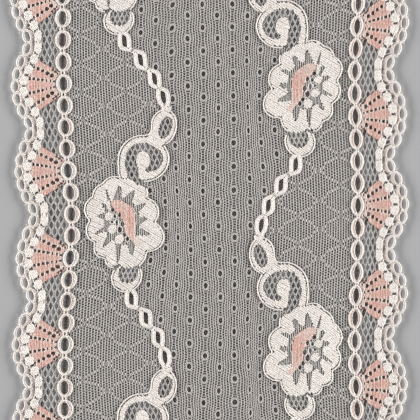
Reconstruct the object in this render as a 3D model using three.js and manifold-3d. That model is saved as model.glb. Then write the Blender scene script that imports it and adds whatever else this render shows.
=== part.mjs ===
// Stretch lace trim: a cut length of one warp-knitted strip that lies flat.
// Both edges are scalloped, with picot loops, buds, fans and a row of beading eyelets,
// and a flower vine runs up each half, the left one half a repeat above the right one.
// Millimetres, +Z up, +Y along the strip, underside on Z = 0.
import * as THREE from 'three';
import { mergeVertices } from 'three/addons/utils/BufferGeometryUtils.js';
import Module from 'manifold-3d';

// The strip
const CUT_LENGTH = 180;
const SHEET_THICKNESS = 1.0;
const REPEAT = 108;
const SCALLOPS_A_REPEAT = 3;
const SCALLOP = REPEAT / SCALLOPS_A_REPEAT;

// How unevenly it lies: courses skewed, the right side longer than the left,
// and the whole strip drawn to and fro by its flowers
const SKEW = 0.0325;
const SIDE_STRETCH = 0.000273;
const MEANDER = 1.05;
const MEANDER_PEAK_ALONG = -7.5;

// Scalloped edge and picot loops
const PEAK_ALONG = 0.6;
const PICOTS_A_SCALLOP = 7;
const PICOT = { acrossAtPeak: 78.7, scallopDepth: 6.3, roundness: 1.7 };
const PICOT_LOOP = { width: 4.1, length: 5.7, holeWidth: 1.5, holeLength: 3.9, openArc: 72 };
const PICOT_OUTLINE_STEPS = 3;
const SLOPE_STEP = 0.5;
const PICOT_HOLE_SIDES = 6;

// Beading: a row of oval eyelets between two crossing strands
const BEADING_ACROSS = 59.5;
const EYELETS_A_SCALLOP = 4;
const EYELET = { width: 2.5, length: 5.9, ringWidth: 5.4, neckWidth: 2.6 };
const EYELET_SIDES = 8;
const BEADING_EDGE_STEPS = 3;

// White buds behind the picots, one row for each bud on one half of a scallop
const BUDS = [
  { along: 2.5, across: 75.2 },
  { along: 6.5, across: 73.0 },
  { along: 10.8, across: 70.5 },
  { along: 15.4, across: 69.0 },
];
const BUD = { width: 3.6, length: 4.1, sides: 5 };

// Fan ribs on one half of a scallop: both ends' places across and the span along
const FAN_RIBS = [
  { innerAcross: 62.0, innerFrom: -0.75, innerTo: 0.75, outerAcross: 72.6, outerFrom: -2.6, outerTo: 2.6 },
  { innerAcross: 62.0, innerFrom: 1.5, innerTo: 3.2, outerAcross: 71.0, outerFrom: 3.6, outerTo: 7.5 },
  { innerAcross: 62.2, innerFrom: 4.0, innerTo: 5.4, outerAcross: 68.6, outerFrom: 8.4, outerTo: 10.0 },
];

// Flower vine, with its places counted from the flower's eye
const VINE_EYE = { across: 39.7, along: 46.5 };
const COROLLA = { across: -1.0, along: 3.2, halfWidth: 15.6, halfHeight: 19.2 };
const PETALS = 12;
const PETAL_STEPS = 4;
const PETAL_NOTCH = 0.1;
const PETAL_ROUNDNESS = 0.7;
const SLIT = { reach: 0.7, halfAngle: 3.5 };
const EYE_RING = { halfWidth: 6.3, halfHeight: 9.6 };
const CRESCENT = { from: 68, to: 236, thickness: 4.6, tipThickness: 1.15, steps: 9 };
const INNER_LOBES = [
  { across: 4.2, along: 5.0 },
  { across: 3.4, along: 0.2 },
  { across: 0.6, along: -3.8 },
];
const INNER_LOBE = { size: 3.1, sides: 6 };
const SCROLL = {
  across: -10.6, along: 29.6, radius: 8.6, from: -34, curlFrom: 225, to: 322, curlPower: 1.4, tailPower: 1.5,
  tailReach: 3.0, width: 2.9, endWidth: 4.4, steps: 17,
};
const SIDE_LOOP = {
  across: -20.5, along: 43.4, halfWidth: 4.4, halfHeight: 6.4, from: 275, to: -35,
  width: 1.8, endWidth: 3.4, steps: 10,
};
const HANGING_BUD = { across: -3.8, along: -19.6, halfWidth: 5.6, halfHeight: 4.7, band: 1.5, sides: 10 };
const LINKS = [
  { across: -5.6, along: -28.6 },
  { across: -12.1, along: -36.4 },
  { across: -17.7, along: -44.6 },
  { across: -21.1, along: -52.9 },
];
const LINK = {
  width: 6.0, length: 7.6, holeWidth: 2.1, holeLength: 5.3, sides: 6, ringSides: 8, strand: 1.7,
};

// Relief of the worked parts above the net
const RELIEF = { beading: 0.25, fan: 0.2, bud: 0.4, clothwork: 0.35, chain: 0.3 };

// How far a cut reaches past the sheet's faces
const CUT_CLEARANCE = 2;

const YARN = { colour: 0xebe4dc, roughness: 0.75, metalness: 0 };

const MERGE_DISTANCE = 1e-5;

const wasm = await Module();
wasm.setup();

const radians = THREE.MathUtils.degToRad;

// A place in the pattern, across and along the strip, as it lies on the table
function lay(across, along) {
  const sway = MEANDER * Math.cos((2 * Math.PI * (along - MEANDER_PEAK_ALONG)) / REPEAT);
  return new THREE.Vector2(across + sway, along * (1 + SIDE_STRETCH * across) + SKEW * across);
}

// The left half is the right half mirrored and moved up by half a repeat
function layOnSide(side, across, along) {
  return side > 0 ? lay(across, along) : lay(-across, along + REPEAT / 2);
}

// Numbers of the repeats of a length whose features fall within the cut strip
function repeatsOf(length, side, phase) {
  const start = phase + (side > 0 ? 0 : REPEAT / 2);
  const reach = CUT_LENGTH / 2 + length;
  const numbers = [];
  for (let n = Math.ceil((-reach - start) / length); start + n * length <= reach; n += 1) {
    numbers.push(n);
  }
  return numbers;
}

// Boolean work on closed meshes
function solidOf(geometry) {
  geometry.deleteAttribute('normal');
  geometry.deleteAttribute('uv');
  const merged = mergeVertices(geometry, MERGE_DISTANCE);
  const vertProperties = new Float32Array(merged.attributes.position.array);
  const triVerts = new Uint32Array(merged.index.array);
  return new wasm.Manifold(new wasm.Mesh({ numProp: 3, vertProperties, triVerts }));
}

function geometryOf(solid) {
  const mesh = solid.getMesh();
  const geometry = new THREE.BufferGeometry();
  geometry.setAttribute('position', new THREE.BufferAttribute(new Float32Array(mesh.vertProperties), 3));
  geometry.setIndex(new THREE.BufferAttribute(new Uint32Array(mesh.triVerts), 1));
  geometry.computeVertexNormals();
  return geometry;
}

function counterClockwise(points) {
  return THREE.ShapeUtils.isClockWise(points) ? points.slice().reverse() : points;
}

function plate(outline, bottom, top, holes = []) {
  const shape = new THREE.Shape(counterClockwise(outline));
  shape.holes = holes.map((points) => new THREE.Path(points));
  const geometry = new THREE.ExtrudeGeometry(shape, { depth: top - bottom, bevelEnabled: false });
  geometry.translate(0, 0, bottom);
  return solidOf(geometry);
}

function raised(outline, relief, holes) {
  return plate(outline, SHEET_THICKNESS / 2, SHEET_THICKNESS + relief, holes);
}

function cutThrough(outline) {
  return plate(outline, -CUT_CLEARANCE, SHEET_THICKNESS + CUT_CLEARANCE);
}

// Points round an oval, turned by a tilt, given in pattern places
function oval(side, place, width, length, sides, tilt = 0) {
  const points = [];
  for (let i = 0; i < sides; i += 1) {
    const angle = (2 * Math.PI * (i + 0.5)) / sides;
    const across = (width / 2) * Math.cos(angle);
    const along = (length / 2) * Math.sin(angle);
    points.push(layOnSide(
      side,
      place.across + across * Math.cos(tilt) - along * Math.sin(tilt),
      place.along + across * Math.sin(tilt) + along * Math.cos(tilt),
    ));
  }
  return points;
}

// A band of changing width along a path of pattern places
function band(side, path) {
  const outer = [];
  const inner = [];
  path.forEach((row, i) => {
    const before = path[Math.max(i - 1, 0)];
    const after = path[Math.min(i + 1, path.length - 1)];
    const run = Math.hypot(after.across - before.across, after.along - before.along);
    const normalAcross = -(after.along - before.along) / run;
    const normalAlong = (after.across - before.across) / run;
    const half = row.width / 2;
    outer.push(layOnSide(side, row.across + normalAcross * half, row.along + normalAlong * half));
    inner.push(layOnSide(side, row.across - normalAcross * half, row.along - normalAlong * half));
  });
  return outer.concat(inner.reverse());
}

// The scalloped line of the picot loops, across the strip at a distance from a peak
function picotAcross(fromPeak) {
  const share = Math.abs(fromPeak) / (SCALLOP / 2);
  return PICOT.acrossAtPeak - PICOT.scallopDepth * share ** PICOT.roundness;
}

function picotPlace(scallop, picot) {
  const fromPeak = (picot - (PICOTS_A_SCALLOP - 1) / 2) * (SCALLOP / PICOTS_A_SCALLOP);
  const rise = picotAcross(fromPeak + SLOPE_STEP) - picotAcross(fromPeak - SLOPE_STEP);
  const slope = rise / (2 * SLOPE_STEP);
  return {
    across: picotAcross(fromPeak),
    along: PEAK_ALONG + scallop * SCALLOP + fromPeak,
    tilt: Math.atan(-slope),
  };
}

// One scalloped edge from the lower end up: the outer half of each picot loop
function edge(side) {
  const points = [];
  for (const scallop of repeatsOf(SCALLOP, side, PEAK_ALONG)) {
    for (let picot = 0; picot < PICOTS_A_SCALLOP; picot += 1) {
      const place = picotPlace(scallop, picot);
      for (let i = 0; i <= PICOT_OUTLINE_STEPS; i += 1) {
        const angle = radians(PICOT_LOOP.openArc * ((2 * i) / PICOT_OUTLINE_STEPS - 1));
        const across = (PICOT_LOOP.width / 2) * Math.cos(angle);
        const along = (PICOT_LOOP.length / 2) * Math.sin(angle);
        points.push(layOnSide(
          side,
          place.across + across * Math.cos(place.tilt) - along * Math.sin(place.tilt),
          place.along + across * Math.sin(place.tilt) + along * Math.cos(place.tilt),
        ));
      }
    }
  }
  return points;
}

function picotHoles(side) {
  const holes = [];
  for (const scallop of repeatsOf(SCALLOP, side, PEAK_ALONG)) {
    for (let picot = 0; picot < PICOTS_A_SCALLOP; picot += 1) {
      const place = picotPlace(scallop, picot);
      const { holeWidth, holeLength } = PICOT_LOOP;
      holes.push(oval(side, place, holeWidth, holeLength, PICOT_HOLE_SIDES, place.tilt));
    }
  }
  return holes;
}

// Beading: one raised band with waisted edges, and its eyelets
function eyeletPlaces(side) {
  const pitch = SCALLOP / EYELETS_A_SCALLOP;
  return repeatsOf(pitch, side, PEAK_ALONG).map((n) => ({
    across: BEADING_ACROSS,
    along: PEAK_ALONG + n * pitch,
  }));
}

function beadingBand(side) {
  const pitch = SCALLOP / EYELETS_A_SCALLOP;
  const path = [];
  for (const place of eyeletPlaces(side)) {
    for (let i = 0; i < BEADING_EDGE_STEPS; i += 1) {
      const share = i / BEADING_EDGE_STEPS - 0.5;
      const swell = Math.cos(Math.PI * share) ** 2;
      const width = EYELET.neckWidth + (EYELET.ringWidth - EYELET.neckWidth) * swell;
      path.push({ across: place.across, along: place.along + share * pitch, width });
    }
  }
  return raised(band(side, path), RELIEF.beading);
}

function beadingEyelets(side) {
  return eyeletPlaces(side).map((place) => oval(side, place, EYELET.width, EYELET.length, EYELET_SIDES));
}

// Buds and fan ribs, with both halves of each scallop alike
function buds(side) {
  const pieces = [];
  for (const scallop of repeatsOf(SCALLOP, side, PEAK_ALONG)) {
    for (const half of [-1, 1]) {
      for (const row of BUDS) {
        const place = { across: row.across, along: PEAK_ALONG + scallop * SCALLOP + half * row.along };
        pieces.push(raised(oval(side, place, BUD.width, BUD.length, BUD.sides), RELIEF.bud));
      }
    }
  }
  return pieces;
}

function fanRib(side, peak, half, rib) {
  const corners = [
    [rib.innerAcross, rib.innerFrom],
    [rib.outerAcross, rib.outerFrom],
    [rib.outerAcross, rib.outerTo],
    [rib.innerAcross, rib.innerTo],
  ];
  return raised(corners.map(([across, along]) => layOnSide(side, across, peak + half * along)), RELIEF.fan);
}

function fans(side) {
  const pieces = [];
  const [middle, ...pairs] = FAN_RIBS;
  for (const scallop of repeatsOf(SCALLOP, side, PEAK_ALONG)) {
    const peak = PEAK_ALONG + scallop * SCALLOP;
    pieces.push(fanRib(side, peak, 1, middle));
    for (const rib of pairs) {
      pieces.push(fanRib(side, peak, 1, rib));
      pieces.push(fanRib(side, peak, -1, rib));
    }
  }
  return pieces;
}

// Flower: a lobed corolla with net slits between the petals, and what fills its eye
function corollaReach(angle) {
  const { halfWidth, halfHeight } = COROLLA;
  const rim = 1 / Math.hypot(Math.cos(angle) / halfWidth, Math.sin(angle) / halfHeight);
  const lobe = Math.abs(Math.sin((PETALS * angle) / 2)) ** PETAL_ROUNDNESS;
  return rim * (1 - PETAL_NOTCH * (1 - lobe));
}

function eyeReach(angle) {
  return 1 / Math.hypot(Math.cos(angle) / EYE_RING.halfWidth, Math.sin(angle) / EYE_RING.halfHeight);
}

function corolla(side, eye) {
  const at = (angle, reach) => layOnSide(
    side,
    eye.across + COROLLA.across + reach * Math.cos(angle),
    eye.along + COROLLA.along + reach * Math.sin(angle),
  );
  const outline = [];
  const ring = [];
  for (let petal = 0; petal < PETALS; petal += 1) {
    const start = (2 * Math.PI * petal) / PETALS;
    for (let i = 0; i < PETAL_STEPS; i += 1) {
      const angle = start + (2 * Math.PI * i) / (PETALS * PETAL_STEPS);
      outline.push(at(angle, corollaReach(angle)));
    }
    ring.push(at(start - radians(SLIT.halfAngle), eyeReach(start)));
    ring.push(at(start, SLIT.reach * corollaReach(start)));
    ring.push(at(start + radians(SLIT.halfAngle), eyeReach(start)));
  }
  return raised(outline, RELIEF.clothwork, [ring]);
}

function crescent(side, eye) {
  const path = [];
  for (let i = 0; i <= CRESCENT.steps; i += 1) {
    const share = i / CRESCENT.steps;
    const angle = radians(CRESCENT.from + (CRESCENT.to - CRESCENT.from) * share);
    const width = THREE.MathUtils.lerp(CRESCENT.tipThickness, CRESCENT.thickness, Math.sin(Math.PI * share));
    const reach = eyeReach(angle) - width / 2;
    path.push({
      across: eye.across + COROLLA.across + reach * Math.cos(angle),
      along: eye.along + COROLLA.along + reach * Math.sin(angle),
      width,
    });
  }
  return raised(band(side, path), RELIEF.clothwork);
}

function innerLobes(side, eye) {
  return INNER_LOBES.map((row) => {
    const place = { across: eye.across + row.across, along: eye.along + row.along };
    return raised(oval(side, place, INNER_LOBE.size, INNER_LOBE.size, INNER_LOBE.sides), RELIEF.clothwork);
  });
}

// Scroll leaf: a band that leaves the flower, goes round and curls into its own middle
function scroll(side, eye) {
  const path = [];
  for (let i = 0; i <= SCROLL.steps; i += 1) {
    const share = i / SCROLL.steps;
    const turn = SCROLL.from + (SCROLL.to - SCROLL.from) * share;
    const curl = Math.max(turn - SCROLL.curlFrom, 0) / (SCROLL.to - SCROLL.curlFrom);
    const tail = Math.max(-turn, 0) / -SCROLL.from;
    const round = SCROLL.radius * (1 - curl ** SCROLL.curlPower);
    const reach = round + SCROLL.tailReach * tail ** SCROLL.tailPower;
    path.push({
      across: eye.across + SCROLL.across + reach * Math.cos(radians(turn)),
      along: eye.along + SCROLL.along + reach * Math.sin(radians(turn)),
      width: THREE.MathUtils.lerp(SCROLL.width, SCROLL.endWidth, curl),
    });
  }
  return raised(band(side, path), RELIEF.clothwork);
}

function sideLoop(side, eye) {
  const path = [];
  for (let i = 0; i <= SIDE_LOOP.steps; i += 1) {
    const share = i / SIDE_LOOP.steps;
    const turn = radians(THREE.MathUtils.lerp(SIDE_LOOP.from, SIDE_LOOP.to, share));
    path.push({
      across: eye.across + SIDE_LOOP.across + SIDE_LOOP.halfWidth * Math.cos(turn),
      along: eye.along + SIDE_LOOP.along + SIDE_LOOP.halfHeight * Math.sin(turn),
      width: THREE.MathUtils.lerp(SIDE_LOOP.width, SIDE_LOOP.endWidth, share ** 2),
    });
  }
  return raised(band(side, path), RELIEF.clothwork);
}

function hangingBud(side, eye) {
  const { halfWidth, halfHeight, sides } = HANGING_BUD;
  const place = { across: eye.across + HANGING_BUD.across, along: eye.along + HANGING_BUD.along };
  const outline = oval(side, place, 2 * halfWidth, 2 * halfHeight, sides);
  const insideWidth = 2 * (halfWidth - HANGING_BUD.band);
  const insideHeight = 2 * (halfHeight - HANGING_BUD.band);
  const inside = oval(side, place, insideWidth, insideHeight, sides);
  return raised(outline, RELIEF.clothwork, [inside]);
}

// Chain: open links, joined by the strands that cross between them
function linkPlaces(eye) {
  return LINKS.map((row) => ({ across: eye.across + row.across, along: eye.along + row.along }));
}

function chain(side, eye) {
  const pieces = [];
  let before = { across: eye.across + HANGING_BUD.across, along: eye.along + HANGING_BUD.along };
  for (const place of linkPlaces(eye)) {
    const strand = [before, place].map((end) => ({ ...end, width: LINK.strand }));
    pieces.push(raised(band(side, strand), RELIEF.chain / 2));
    pieces.push(raised(oval(side, place, LINK.width, LINK.length, LINK.ringSides), RELIEF.chain));
    before = place;
  }
  return pieces;
}

function linkHoles(side, eye) {
  return linkPlaces(eye).map((place) => oval(side, place, LINK.holeWidth, LINK.holeLength, LINK.sides));
}

// The whole strip: the sheet, all that stands up from it, then the open holes and the two cut ends
function laceTrim() {
  const outline = edge(1).concat(edge(-1).reverse());
  const relief = [];
  const holes = [];
  for (const side of [1, -1]) {
    relief.push(beadingBand(side), ...buds(side), ...fans(side));
    holes.push(...picotHoles(side), ...beadingEyelets(side));
    for (const n of repeatsOf(REPEAT, side, VINE_EYE.along)) {
      const eye = { across: VINE_EYE.across, along: VINE_EYE.along + n * REPEAT };
      relief.push(corolla(side, eye), crescent(side, eye), ...innerLobes(side, eye));
      relief.push(scroll(side, eye), sideLoop(side, eye), hangingBud(side, eye), ...chain(side, eye));
      holes.push(...linkHoles(side, eye));
    }
  }
  const cutHeight = 2 * (SHEET_THICKNESS + CUT_CLEARANCE);
  const cutPiece = new THREE.BoxGeometry(2 * CUT_LENGTH, CUT_LENGTH, cutHeight);
  let strip = plate(outline, 0, SHEET_THICKNESS);
  for (const piece of relief) {
    strip = strip.add(piece);
  }
  for (const hole of holes) {
    strip = strip.subtract(cutThrough(hole));
  }
  return strip.intersect(solidOf(cutPiece));
}

const material = new THREE.MeshStandardMaterial({
  color: YARN.colour,
  roughness: YARN.roughness,
  metalness: YARN.metalness,
});
const trim = new THREE.Mesh(geometryOf(laceTrim()), material);
trim.name = 'lace_trim';

const group = new THREE.Group();
group.add(trim);

export default group;
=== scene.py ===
import math
from functools import partial

import bpy
import numpy as np
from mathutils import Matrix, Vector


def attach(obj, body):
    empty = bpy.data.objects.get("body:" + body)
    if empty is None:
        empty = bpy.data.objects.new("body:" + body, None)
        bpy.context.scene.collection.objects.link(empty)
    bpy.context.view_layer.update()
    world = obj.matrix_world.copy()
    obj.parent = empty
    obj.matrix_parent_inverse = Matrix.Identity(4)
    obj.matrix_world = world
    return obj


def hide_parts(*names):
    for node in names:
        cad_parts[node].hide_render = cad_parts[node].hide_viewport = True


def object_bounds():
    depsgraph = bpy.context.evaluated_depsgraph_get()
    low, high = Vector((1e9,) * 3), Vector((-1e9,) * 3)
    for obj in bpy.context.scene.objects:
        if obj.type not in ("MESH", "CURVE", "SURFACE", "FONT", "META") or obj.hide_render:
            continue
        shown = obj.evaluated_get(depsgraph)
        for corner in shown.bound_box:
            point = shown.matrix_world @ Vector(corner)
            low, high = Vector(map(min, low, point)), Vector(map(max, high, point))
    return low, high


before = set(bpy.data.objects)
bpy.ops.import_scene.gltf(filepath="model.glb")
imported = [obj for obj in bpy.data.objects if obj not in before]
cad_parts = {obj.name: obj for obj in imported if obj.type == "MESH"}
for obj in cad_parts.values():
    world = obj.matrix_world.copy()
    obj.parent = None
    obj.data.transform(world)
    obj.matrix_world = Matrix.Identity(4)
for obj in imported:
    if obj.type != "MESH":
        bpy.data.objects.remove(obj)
cad_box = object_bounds()

# Flower petals: close clothwork of creamy yarn, laid to and fro by the pattern bars while the net is
# knitted, so that a petal has no seam, and parted by slits of net. Places are millimetres across and along
# the strip from the flower's eye. The left vine is the right one mirrored and moved on by half a repeat.
MM = 0.001
RIGHT, LEFT = 1, -1
ACROSS, ALONG, HEIGHT, GIRTH, BLUSH = range(5)  # the columns of a yarn
CUT_LENGTH = (cad_box[1].y - cad_box[0].y) / MM
REPEAT = 108.0
MOVED_ON = {RIGHT: 0.0, LEFT: REPEAT / 2}
VINE_REPEATS = (-2, -1, 0, 1)
SWAY = 1.05
SWAY_PEAK_ALONG = -7.5
SWAY_FULL_ACROSS = 16.0
SKEW = 0.0325
SIDE_STRETCH = 0.000273
DRIFT_LINES = {  # how far across from the strip's middle each line starts, holds and ends
    "middle": (-10, 0, 5, 12),
    "net": (5, 12, 13, 21),
    "vine": (13, 21, 46, 57),
    "border": (46, 57, 62, 70),
    "edge": (62, 70, 99, 100),
}
MIDDLE_DRIFT = (
    (-90, -0.1, -0.35), (-75, 0.5, -0.35), (-66, 0.9, -0.3), (-48, 1.3, -0.35), (-30, 1.05, -0.35),
    (-21, 0.75, -0.25), (-12, 0.3, -0.1), (6, -0.2, 0.1), (24, 0.05, 0.1), (42, 0.5, 0.3),
    (60, 0.35, 0.05), (78, -0.3, -0.1), (90, -0.6, -0.1),
)
DRIFT = {  # place along each line, how far the strip lies off there across and along
    RIGHT: {
        "middle": MIDDLE_DRIFT,
        "net": (
            (-90, 2.0, 0.0), (-72, 2.3, -0.3), (-54, 1.2, -0.1), (-36, 0.5, -0.1), (0, 0.4, -0.1),
            (18, 0.9, 0.1), (36, 1.65, 0.25), (54, 1.0, 0.0), (72, 0.0, -0.4), (90, -0.4, -1.6),
        ),
        "vine": (
            (-90, 0.0, 1.2), (-76, -0.1, 1.1), (-67, 0.0, 0.8), (-49, 0.0, 0.85), (-40, 0.0, 0.6),
            (-31, -0.05, 0.1), (-22, -0.05, -0.05), (-13, 0.3, -0.1), (-4, 0.4, -0.45), (5, 0.3, -0.65),
            (14, 0.35, -0.55), (23, 0.2, -0.2), (32, -0.1, -0.1), (59, 0.0, -0.35), (68, -0.2, -1.0),
            (77, -0.4, -1.6), (90, -0.4, -1.6),
        ),
        "border": (
            (-90, 0.8, -1.9), (-77, 0.8, -1.9), (-59, 0.5, -1.4), (-41, 0.0, -1.1), (-23, -0.3, -0.75),
            (-5, -0.4, -0.65), (4, -0.2, -0.75), (13, 0.2, -0.75), (22, 0.5, -0.9), (31, 0.5, -0.9),
            (49, 0.4, -0.5), (67, 0.35, -0.45), (90, 0.35, -0.3),
        ),
        "edge": (
            (-90, 0.2, -0.6), (-68, 0.2, -0.9), (-59, 0.15, -0.8), (-50, 0.05, -0.55), (-41, -0.25, -0.5),
            (-32, -0.65, -0.65), (-23, -1.2, -0.7), (-14, -1.25, -0.5), (3, -1.0, -0.8),
            (12, -0.85, -0.9), (21, -0.5, -0.6), (30, -0.15, -0.5), (47, 0.1, -0.55), (65, 0.05, -0.1),
            (90, -0.2, -0.1),
        ),
    },
    LEFT: {
        "middle": MIDDLE_DRIFT,
        "net": (
            (-90, 1.0, 0.9), (-72, 0.9, 0.7), (-58, 1.0, 0.4), (-36, 0.8, 0.1), (-20, 0.5, 0.3),
            (0, 0.2, 0.4), (14, 0.4, 0.2), (26, 0.8, 0.0), (42, 0.9, 0.0), (54, 0.2, 0.5),
            (72, -0.4, 0.9), (90, -0.8, 0.9),
        ),
        "vine": (
            (-90, 1.25, 1.6), (-74, 1.05, 1.15), (-60, 1.0, 0.5), (-45, 1.35, 0.45), (-28, 1.5, 0.7),
            (-20, 1.95, 1.1), (-8, 1.9, 1.2), (8, 1.7, 1.2), (16, 1.6, 0.8), (25, 1.5, 0.2),
            (34, 1.25, -0.15), (43, 0.65, -0.45), (52, -0.05, -0.8), (61, -0.6, -1.0), (70, -1.35, -0.85),
            (90, -2.0, -1.0),
        ),
        "border": (
            (-90, -0.6, -0.6), (-75, -0.05, -0.6), (-60, 0.3, -0.65), (-26, 0.25, -0.7), (-8, 1.0, -0.35),
            (1, 1.15, -0.35), (8, 1.0, -0.4), (17, 0.55, -0.3), (35, 0.4, -0.1), (44, 0.15, -0.15),
            (53, -0.2, -0.05), (62, -0.8, -0.05), (71, -1.5, 0.2), (90, -2.6, 0.4),
        ),
        "edge": (
            (-90, -0.7, -0.2), (-72, -0.05, -0.25), (-63, 0.35, -0.25), (-54, 0.6, -0.4),
            (-45, 0.6, -0.6), (-36, 0.45, -0.45), (-27, 0.3, -0.1), (-9, 0.4, -0.35), (0, 0.45, -0.05),
            (18, 0.75, -0.1), (27, 0.8, -0.35), (36, 0.65, -0.1), (54, 0.2, -0.2), (63, -0.3, -0.4),
            (73, -1.1, -0.1), (90, -2.0, 0.2),
        ),
    },
}
FLOWER_EYE = (39.7, 46.5)
COROLLA = (-1.0, 3.2)
EYE_RING_MIDDLE = (-0.3, 2.9)
EYE_RING = (7.3, 9.7)
PETAL_ROUNDNESS = 0.85
PETALS = (  # turn and reach of a notch, then the reach of the petal tip after it
    (6, 12.8, 16.2),
    (42, 15.6, 17.2),
    (64, 17.0, 18.4),
    (89, 17.3, 17.4),
    (112, 15.6, 16.0),
    (137, 12.6, 14.2),
    (185, 11.9, 17.8),
    (234, 15.2, 19.6),
    (275, 17.6, 18.9),
    (297, 16.3, 16.3),
    (325, 13.3, 14.6),
)
SLITS = (  # turn and reach of the open end, turn and reach of the tip, width of the open end
    (15, 7.0, 15, 10.9, 2.8),
    (37, 7.0, 41, 11.4, 3.0),
    (50, 8.5, 63.5, 15.2, 1.2),
    (75, 8.6, 86, 14.5, 3.6),
    (103, 8.4, 111.5, 13.0, 3.4),
    (137, 6.4, 144, 11.2, 2.7),
    (184, 6.0, 175, 10.0, 2.6),
    (221, 7.0, 210, 12.0, 3.0),
    (252, 9.3, 257, 15.0, 3.2),
    (284, 9.4, 277.5, 17.4, 2.4),
    (311, 7.2, 309, 13.3, 3.0),
    (338, 7.2, 338, 12.7, 2.0),
)
SLIT_TAPER = 0.5
LAID_ACROSS, LAID_ALONG = 0, 90  # slants in degrees
PETAL_SLANT = -33
PETAL_LAY_REACH = 21
PETAL_PITCH = 0.8
PETAL_GIRTH = 0.41
PETAL_HEIGHT = 0.98
PETAL_BED_PITCH = 0.8
PETAL_BED_HEIGHT = 0.5
PETAL_BED_GIRTH = 0.4
PETAL_FLATNESS = 0.62
PETAL_CORD_GAP = 0.6
PETAL_CORDS = ((-79, 88), (127, 251))
PETAL_CORD_STEP = 3
CORD_HEIGHT = 1.0
CORD_GIRTH = 0.25
NET_ROOM = -0.35
EDGE_STEP = 0.15
SHORTEST_STEPS = 2
YARN_STEP = 0.75
FEWEST_PLACES = 3
LAY_JITTER = 0.1
HEIGHT_JITTER = 0.05
BLUSH_JITTER = 0.28
CREAM = (0.83, 0.775, 0.725)
CREAM_BLUSH = (0.80, 0.50, 0.42)
PLY_RELIEF = 0.6
FIBRE_RELIEF = 0.6
RELIEF_STRENGTH = 0.5
RELIEF_DEPTH = 0.06
LEAST_SHADE = 0.80
# painted shade: how much darker the yarn's colour gets in the grooves between its plies
PLY_GROOVE_PAINTED_SHADE = 0.10
FIBRE_SHADE = 0.08
FIBRE_SCALE = 5200.0
FIBRE_DETAIL = 3.0
TONE_SHADE = 0.10
TONE_SCALE = 110.0
TONE_DETAIL = 2.0
ROUGHNESS_SPREAD = 0.1
SHEEN_ROUGHNESS = 0.5
YARN_SPECULAR = 0.3
chance = np.random.default_rng(seed=36)


def run(across, along, height, girth, blush=0.0):
    """One yarn as rows of place across, place along, height, half thickness and share of pink."""
    return np.column_stack(np.broadcast_arrays(across, along, height, girth, blush)).astype(float)


def between_rows(table, at, column=1):
    """A column of a table at some places, read between its rows."""
    rows = np.array(table, float)
    return np.interp(at, rows[:, 0], rows[:, column])


def drift(across, along):
    """How far the strip's hand-laid curve carries each place across and along."""
    off = np.zeros((2, len(across)))
    for side, lines in DRIFT.items():
        here = (across > 0) == (side == RIGHT)
        for line, reach in DRIFT_LINES.items():
            share = np.interp(np.abs(across), reach, (0, 1, 1, 0)) * here
            for axis in (ACROSS, ALONG):
                off[axis] += share * between_rows(lines[line], along, 1 + axis)
    return off


def lay(side, yarn):
    """The yarn as it lies on the table, with the strip's slight sway, skew and stretch."""
    across = side * yarn[:, ACROSS]
    along = yarn[:, ALONG] + MOVED_ON[side]
    sway = SWAY * np.cos(2 * np.pi * (along - SWAY_PEAK_ALONG) / REPEAT)
    sway *= np.clip(np.abs(across) / SWAY_FULL_ACROSS, 0, 1)
    off_across, off_along = drift(across, along)
    laid = yarn.copy()
    laid[:, ACROSS] = across + sway + off_across
    laid[:, ALONG] = along * (1 + SIDE_STRETCH * across) + SKEW * across + off_along
    return laid


def stretches(kept):
    """First and last index of each unbroken stretch of kept places."""
    steps = np.flatnonzero(np.diff(np.concatenate([[0], kept.astype(int), [0]])))
    return zip(steps[::2], steps[1::2] - 1)


def trim(yarn):
    """The stretches of a laid yarn between the two cut ends of the strip."""
    end = CUT_LENGTH / 2
    along = np.abs(yarn[:, ALONG])
    if (along < end).all():
        return [yarn]
    pieces = []
    for first, last in stretches(along < end):
        rows = list(yarn[first:last + 1])
        for near, far, spot in ((first, first - 1, 0), (last, last + 1, len(rows) + 1)):
            if 0 <= far < len(yarn):
                share = (end - along[near]) / abs(yarn[far, ALONG] - yarn[near, ALONG])
                rows.insert(spot, yarn[near] + (yarn[far] - yarn[near]) * share)
        if len(rows) > 1:
            pieces.append(np.array(rows))
    return pieces


def lay_all(side, yarns, start):
    """Yarns given from a start, laid on that half of the strip and cut to its length."""
    laid = lay(side, np.concatenate(yarns) + start)
    ends = np.cumsum([len(yarn) for yarn in yarns])[:-1]
    return [piece for yarn in np.split(laid, ends) for piece in trim(yarn)]


def on_vine(side, yarns):
    """Yarns given from the flower's eye, placed in each repeat of that side's vine."""
    placed = []
    for repeat in VINE_REPEATS:
        placed += lay_all(side, yarns, (FLOWER_EYE[0], FLOWER_EYE[1] + repeat * REPEAT, 0, 0, 0))
    return placed


def clothwork(worked, middle, reach, slant, pitch, height, girth, blush=None):
    """Parallel yarns over a worked area, each ending at the area's edge or at a hole in it."""
    yarns = []
    lean = math.radians(slant)
    forward = np.arange(-reach, reach, EDGE_STEP)
    steps = np.arange(len(forward))
    for shift in np.arange(-reach, reach, pitch):
        shift += pitch * LAY_JITTER * chance.uniform(-1, 1)
        across = middle[0] + forward * math.cos(lean) - shift * math.sin(lean)
        along = middle[1] + forward * math.sin(lean) + shift * math.cos(lean)
        for first, last in stretches(worked(across, along)):
            if last - first < SHORTEST_STEPS:
                continue
            count = max(FEWEST_PLACES, round((last - first) * EDGE_STEP / YARN_STEP) + 1)
            picks = np.linspace(first, last, count)
            yarn = run(np.interp(picks, steps, across), np.interp(picks, steps, along), height, girth)
            yarn[:, HEIGHT] += height * HEIGHT_JITTER * chance.uniform(-1, 1, count)
            if blush is not None:
                mottle = BLUSH_JITTER * (chance.uniform(-1, 1) + chance.uniform(-1, 1, count))
                yarn[:, BLUSH] = np.clip(blush(yarn[:, ACROSS], yarn[:, ALONG]) + mottle, 0, 1)
            yarns.append(yarn)
    return yarns


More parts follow.
